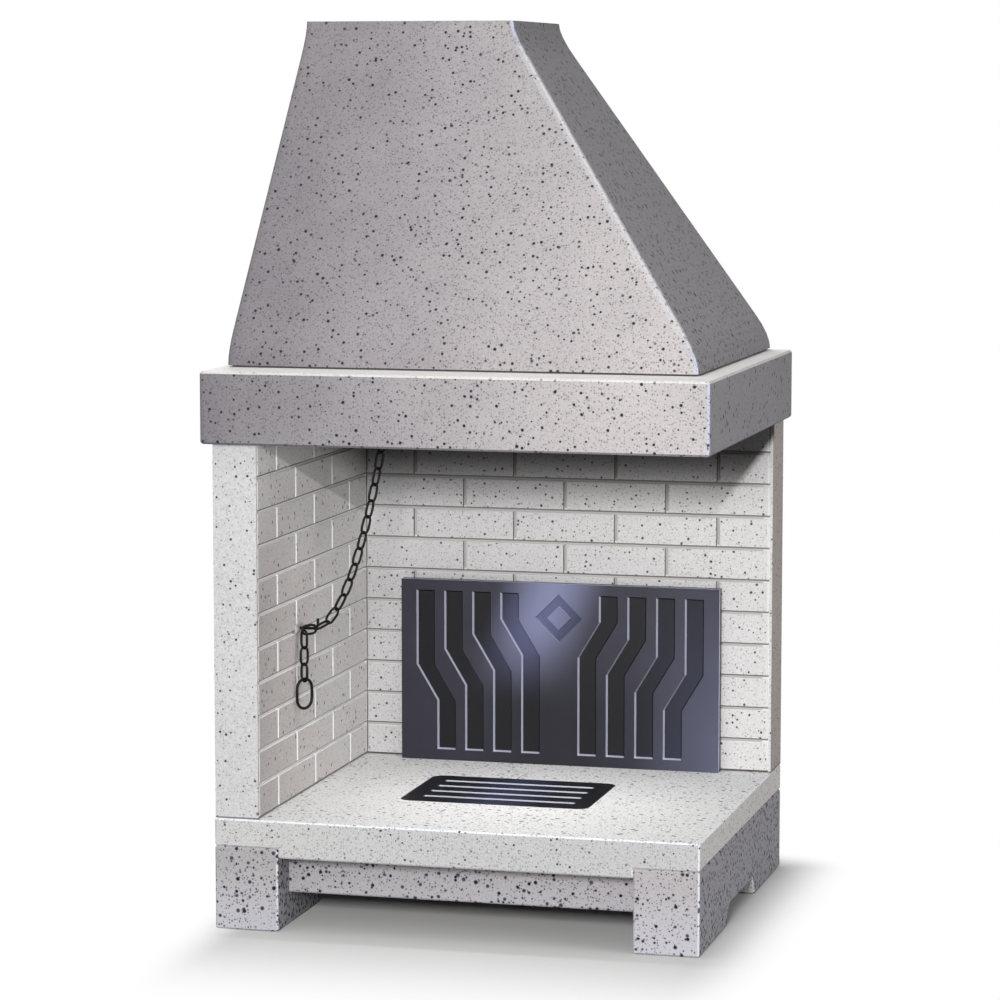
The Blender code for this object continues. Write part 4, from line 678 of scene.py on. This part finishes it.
def rolled_metal(name, light, dark, roughness, metallic=1.0, grain_mm=2.0, stretch=30.0,
                 **constants):
    made, tree, shader = new_material(name, Metallic=metallic, **constants)
    place = add(tree, "TexCoord").outputs["Object"]
    along = add(tree, "Mapping", {"Vector": place, "Scale": (1.0, 1.0, 1.0 / stretch)})
    grain = add(tree, "TexNoise", [along, 1 / (grain_mm * MM), 3.0])
    patches = add(tree, "TexNoise", [place, 1 / (PATCH_MM * MM), 3.0])
    colour = add(tree, "Mix", [patches, linear(light), linear(dark)], data_type="RGBA")
    plug(tree, colour, shader.inputs["Base Color"])
    rough = add(tree, "MapRange", [grain, 0.3, 0.7, roughness - 0.07, roughness + 0.07])
    plug(tree, rough, shader.inputs["Roughness"])
    relief = add(tree, "Bump", {"Strength": 0.15, "Distance": 0.1 * MM, "Height": grain})
    plug(tree, relief, shader.inputs["Normal"])
    return made


mill_steel = rolled_metal("mill_finished_sheet_steel", "#8b8c8f", "#6f7073", 0.42)
zinc = rolled_metal("zinc_plated_steel", "#b4b5b2", "#9a9b98", 0.35, grain_mm=1.0, stretch=1.0)
bronze = rolled_metal("sintered_bronze", "#8a5f33", "#734c26", 0.45, grain_mm=0.8, stretch=1.0)
ZINC_PIECES = named("wall_dowel", "fireback_pin", "funnel_screw", "throat_bolt",
                    "damper_flap_bolt", "damper_weight_bolt", "lever_screw")
dress(mill_steel, "smoke_funnel", "smoke_chamber", "flue_collar", "ash_box", "damper_shaft",
      *named("ash_pan"))
dress(zinc, *ZINC_PIECES)
dress(bronze, *named("damper_bush"))
print("zinc plated pieces:", len(ZINC_PIECES))

# %% [markdown]
# ## Chain and hook
# The chain, its shackle and the ring are bent from wire and stove enamelled. To the eye
# they are plain black with a weak, soft highlight, so the enamel reflects little. The
# hook's plate and its screws are painted like the wall they sit on, and only the pin is
# black. The plate is the hook's part that is within 4 mm of the bricks.

# %% Chain and hook
enamel = rolled_metal("black_stove_enamel", "#060504", "#0d0b0a", 0.45, metallic=0.0, grain_mm=1.2,
                      stretch=1.0, Specular_IOR_Level=0.25)
plate_screw = rolled_metal("painted_screw_heads", "#b5b0ad", "#a5a09d", 0.5, metallic=0.0,
                           stretch=1.0)


def painted_plate():
    made = enamel.copy()
    made.name = "enamelled_hook_with_painted_plate"
    tree = made.node_tree
    shader = next(node for node in tree.nodes if node.type == "BSDF_PRINCIPLED")
    black = shader.inputs["Base Color"].links[0].from_socket
    place = add(tree, "TexCoord").outputs["Object"]
    speckle, _ = chips(tree, place, 6, 1.4, softness=0.4)
    paint = add(tree, "Mix", [speckle, linear("#b9b4b1"), linear("#7d7875")], data_type="RGBA")
    where = add(tree, "SeparateXYZ", [place]).outputs
    on_plate = add(tree, "MapRange",
                   [where["X"], BRICK_FACE_X + 4.4 * MM, BRICK_FACE_X + 5 * MM, 1.0, 0.0])
    colour = add(tree, "Mix", [on_plate, black, paint], data_type="RGBA")
    plug(tree, colour, shader.inputs["Base Color"])
    return made


dress(enamel, "chain_run", "chain_shackle", "chain_tail", "pull_ring")
dress(painted_plate(), "wall_hook")
dress(plate_screw, *named("wall_hook_screw"))
print("hook screws:", named("wall_hook_screw"))

# %% [markdown]
# ## Gasket
# The gasket under the hood is a dark grey woven strip of mineral fibre, rough and without
# any shine. Two crossed sets of waves, one for each direction of the yarn, give the weave.
# Its pitch is drawn at 7.5 mm, much coarser than real yarn, so that it shows at all.

# %% Gasket
RADIAN_MM = 1.2             # a wave is 2 pi times as long, so 7.5 mm
RADIANS_PER_UNIT = 20       # in a wave texture of scale 1


def woven_fibre():
    made, tree, shader = new_material("woven_mineral_fibre", Roughness=0.95)
    place = add(tree, "TexCoord").outputs["Object"]
    waves = {"Vector": place, "Scale": 1 / (RADIAN_MM * MM) / RADIANS_PER_UNIT,
             "Distortion": 0.3}
    weft = add(tree, "TexWave", waves, bands_direction="X").outputs["Fac"]
    warp = add(tree, "TexWave", waves, bands_direction="Y").outputs["Fac"]
    cloth = all_of(tree, weft, warp)
    colour = add(tree, "Mix", [cloth, linear("#4a4746"), linear("#6b6765")], data_type="RGBA")
    plug(tree, colour, shader.inputs["Base Color"])
    relief = add(tree, "Bump", {"Strength": 0.5, "Distance": 0.3 * MM, "Height": cloth})
    plug(tree, relief, shader.inputs["Normal"])
    return made


dress(woven_fibre(), "hood_gasket")

# %% [markdown]
# ## Round edges
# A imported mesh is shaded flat. Wire, shafts and the hood's curved skirt are smooth on the
# real object, so their faces are shaded smooth up to 40 degrees. The chain is coarse
# enough for its facets to show, so a subdivision rounds it. That draws the wire in by
# about a seventh of its radius, and a displacement along the normals puts it back.

# %% Smooth the round pieces
SMOOTH_BELOW = math.radians(40)
DRAWN_IN = 0.14             # share of the radius that the displacement restores
WIRES_MM = {"chain_run": 5.2, "chain_tail": 5.2, "chain_shackle": 5.0, "pull_ring": 6.0}


def smooth(name):
    mesh = NODES[name].data
    mesh.shade_smooth()
    mesh.set_sharp_from_angle(angle=SMOOTH_BELOW)


def round_wire(name, wire_mm):
    piece = NODES[name]
    piece.data.shade_smooth()
    piece.modifiers.new("Weld_Seams", "WELD").merge_threshold = 0.02 * MM
    finer = piece.modifiers.new("Finer", "SUBSURF")
    finer.levels = finer.render_levels = 1
    fuller = piece.modifiers.new("Fuller", "DISPLACE")
    fuller.strength = wire_mm / 2 * MM * DRAWN_IN
    fuller.mid_level = 0.0


for name in ("hood_shell", "flue_collar", "damper_shaft", "wall_hook",
             *named("damper_bush", "ash_pan_grip", "wall_dowel", "fireback_pin")):
    smooth(name)
for name, wire_mm in WIRES_MM.items():
    round_wire(name, wire_mm)
print("chain faces:", len(NODES["chain_run"].data.polygons))

# %% [markdown]
# ## Studio floor
# The floor is matt white board. Close to the object its colour is darker, a painted
# shadow, and it turns paler further off. Camera rays see it brighten to plain white a little
# way off the object, so the picture has no horizon, and close to the object it keeps the
# shadow. The brightening follows the four sides of the base, one reach for each side,
# because the shadow is longest in front.

# %% Floor
HALF_FLOOR = 30.0
REACHES = (("X", -0.41, -0.54), ("X", 0.47, 0.64), ("Y", -0.38, -1.0), ("Y", 0.40, 0.56))


def away_from_base(tree):
    """0 beside the base, and 1 where the floor has become plain white."""
    place = add(tree, "SeparateXYZ", [add(tree, "TexCoord").outputs["Object"]]).outputs
    squares = 0.0
    for axis, near, far in REACHES:
        off = add(tree, "MapRange", [place[axis], near, far, 0.0, 1.0])
        squares = add(tree, "Math", [squares, all_of(tree, off, off)], operation="ADD")
    return add(tree, "Math", [squares], operation="SQRT")


def matt_board():
    made = bpy.data.materials.new("matt_white_floor")
    made.use_nodes = True
    tree = made.node_tree
    tree.nodes.clear()
    away = away_from_base(tree)
    fade = add(tree, "MapRange", [away, 0.0, 1.0, 0.0, 1.0], interpolation_type="SMOOTHSTEP")
    # Painted shadow: the board is darker near the base.
    painted_shadow_falloff = add(tree, "MapRange", [away, 0.0, 1.0, 0.0, 1.0])
    board = add(tree, "Mix", [painted_shadow_falloff, linear("#bcbbba"), linear("#e4e4e4")], data_type="RGBA")
    matt = add(tree, "BsdfDiffuse", {"Color": board, "Roughness": 0.5})
    white = add(tree, "Emission", {"Color": (1, 1, 1, 1), "Strength": 1.0})
    seen = all_of(tree, add(tree, "LightPath").outputs["Is Camera Ray"], fade)
    blend = add(tree, "MixShader", [seen, matt, white])
    plug(tree, blend, add(tree, "OutputMaterial").inputs["Surface"])
    return made


def studio_floor():
    mesh = bpy.data.meshes.new("studio_floor")
    near, far = -HALF_FLOOR, HALF_FLOOR
    corners = [(near, near, 0), (far, near, 0), (far, far, 0), (near, far, 0)]
    mesh.from_pydata(corners, [], [(0, 1, 2, 3)])
    mesh.materials.append(matt_board())
    floor = bpy.data.objects.new("studio_floor", mesh)
    floor.location = (0, 0, -0.5 * MM)
    bpy.context.scene.collection.objects.link(floor)
    return floor


floor = studio_floor()
print("floor at z", round(floor.location.z, 4))

# %% [markdown]
# ## World
# The world gives soft light from all round, three times weaker at the horizon than above.
# The camera and clear reflections see plain white instead, at a strength of 1, so the
# background is white and the sheen of the iron doesn't depend on the light's strength.

# %% World
DOME = 0.36                 # strength of the light from above
HORIZON_SHARE = 0.3


def studio_world():
    world = bpy.data.worlds.new("studio_world")
    world.use_nodes = True
    tree = world.node_tree
    tree.nodes.clear()
    rays = add(tree, "LightPath").outputs
    seen = add(tree, "Math", [rays["Is Camera Ray"], rays["Is Glossy Ray"]], operation="MAXIMUM")
    seen = add(tree, "Math", [seen, rays["Is Transmission Ray"]], operation="MAXIMUM")
    toward = add(tree, "SeparateXYZ", [add(tree, "TexCoord").outputs["Generated"]]).outputs
    dome = add(tree, "MapRange", [toward["Z"], 0.0, 0.5, HORIZON_SHARE * DOME, DOME])
    fill = add(tree, "Background", {"Color": linear("#fbfdff"), "Strength": dome})
    white = add(tree, "Background", {"Color": (1, 1, 1, 1), "Strength": 1.0})
    blend = add(tree, "MixShader", [seen, fill, white])
    plug(tree, blend, add(tree, "OutputWorld").inputs["Surface"])
    bpy.context.scene.world = world


studio_world()
print("dome:", DOME, "at the horizon:", round(HORIZON_SHARE * DOME, 3))

# %% [markdown]
# ## Lamps
# A large lamp, low in front and a little to the right, draws the mantel's shadow on the
# brick walls. One overhead lights the ledges, a weak one far to the right opens the shade
# on the side wall, and one behind shows the back. A narrow strip under the mantel
# brightens the hearth, as a fitter's lamp would.

# %% Lamps
def lamp(name, place, aim, width, height, power, spread=180):
    """An area lamp, in metres, watts and degrees."""
    data = bpy.data.lights.new(name, "AREA")
    data.shape = "RECTANGLE"
    data.size = width
    data.size_y = height
    data.energy = power
    data.spread = math.radians(spread)
    made = bpy.data.objects.new(name, data)
    made.location = place
    made.rotation_mode = "QUATERNION"
    made.rotation_quaternion = (Vector(place) - Vector(aim)).to_track_quat("Z", "Y")
    bpy.context.scene.collection.objects.link(made)


lamp("front_softbox", (0.75, -5.6, 1.9), (0, 0, 0.9), 1.1, 0.9, 205)
lamp("overhead_softbox", (-0.6, -0.8, 4.2), (0, 0, 0.8), 2.6, 2.6, 38)
lamp("rear_softbox", (-1.8, 4.2, 2.2), (0, 0, 0.9), 1.8, 1.8, 85)
lamp("right_fill", (3.2, -1.0, 1.2), (-0.2, 0, 0.6), 1.4, 1.4, 22)
lamp("hearth_lamp", (0.05, -0.17, 1.02), (0.05, -0.08, 0.2), 0.5, 0.08, 1.2, spread=90)
bpy.context.scene.view_settings.view_transform = "Standard"
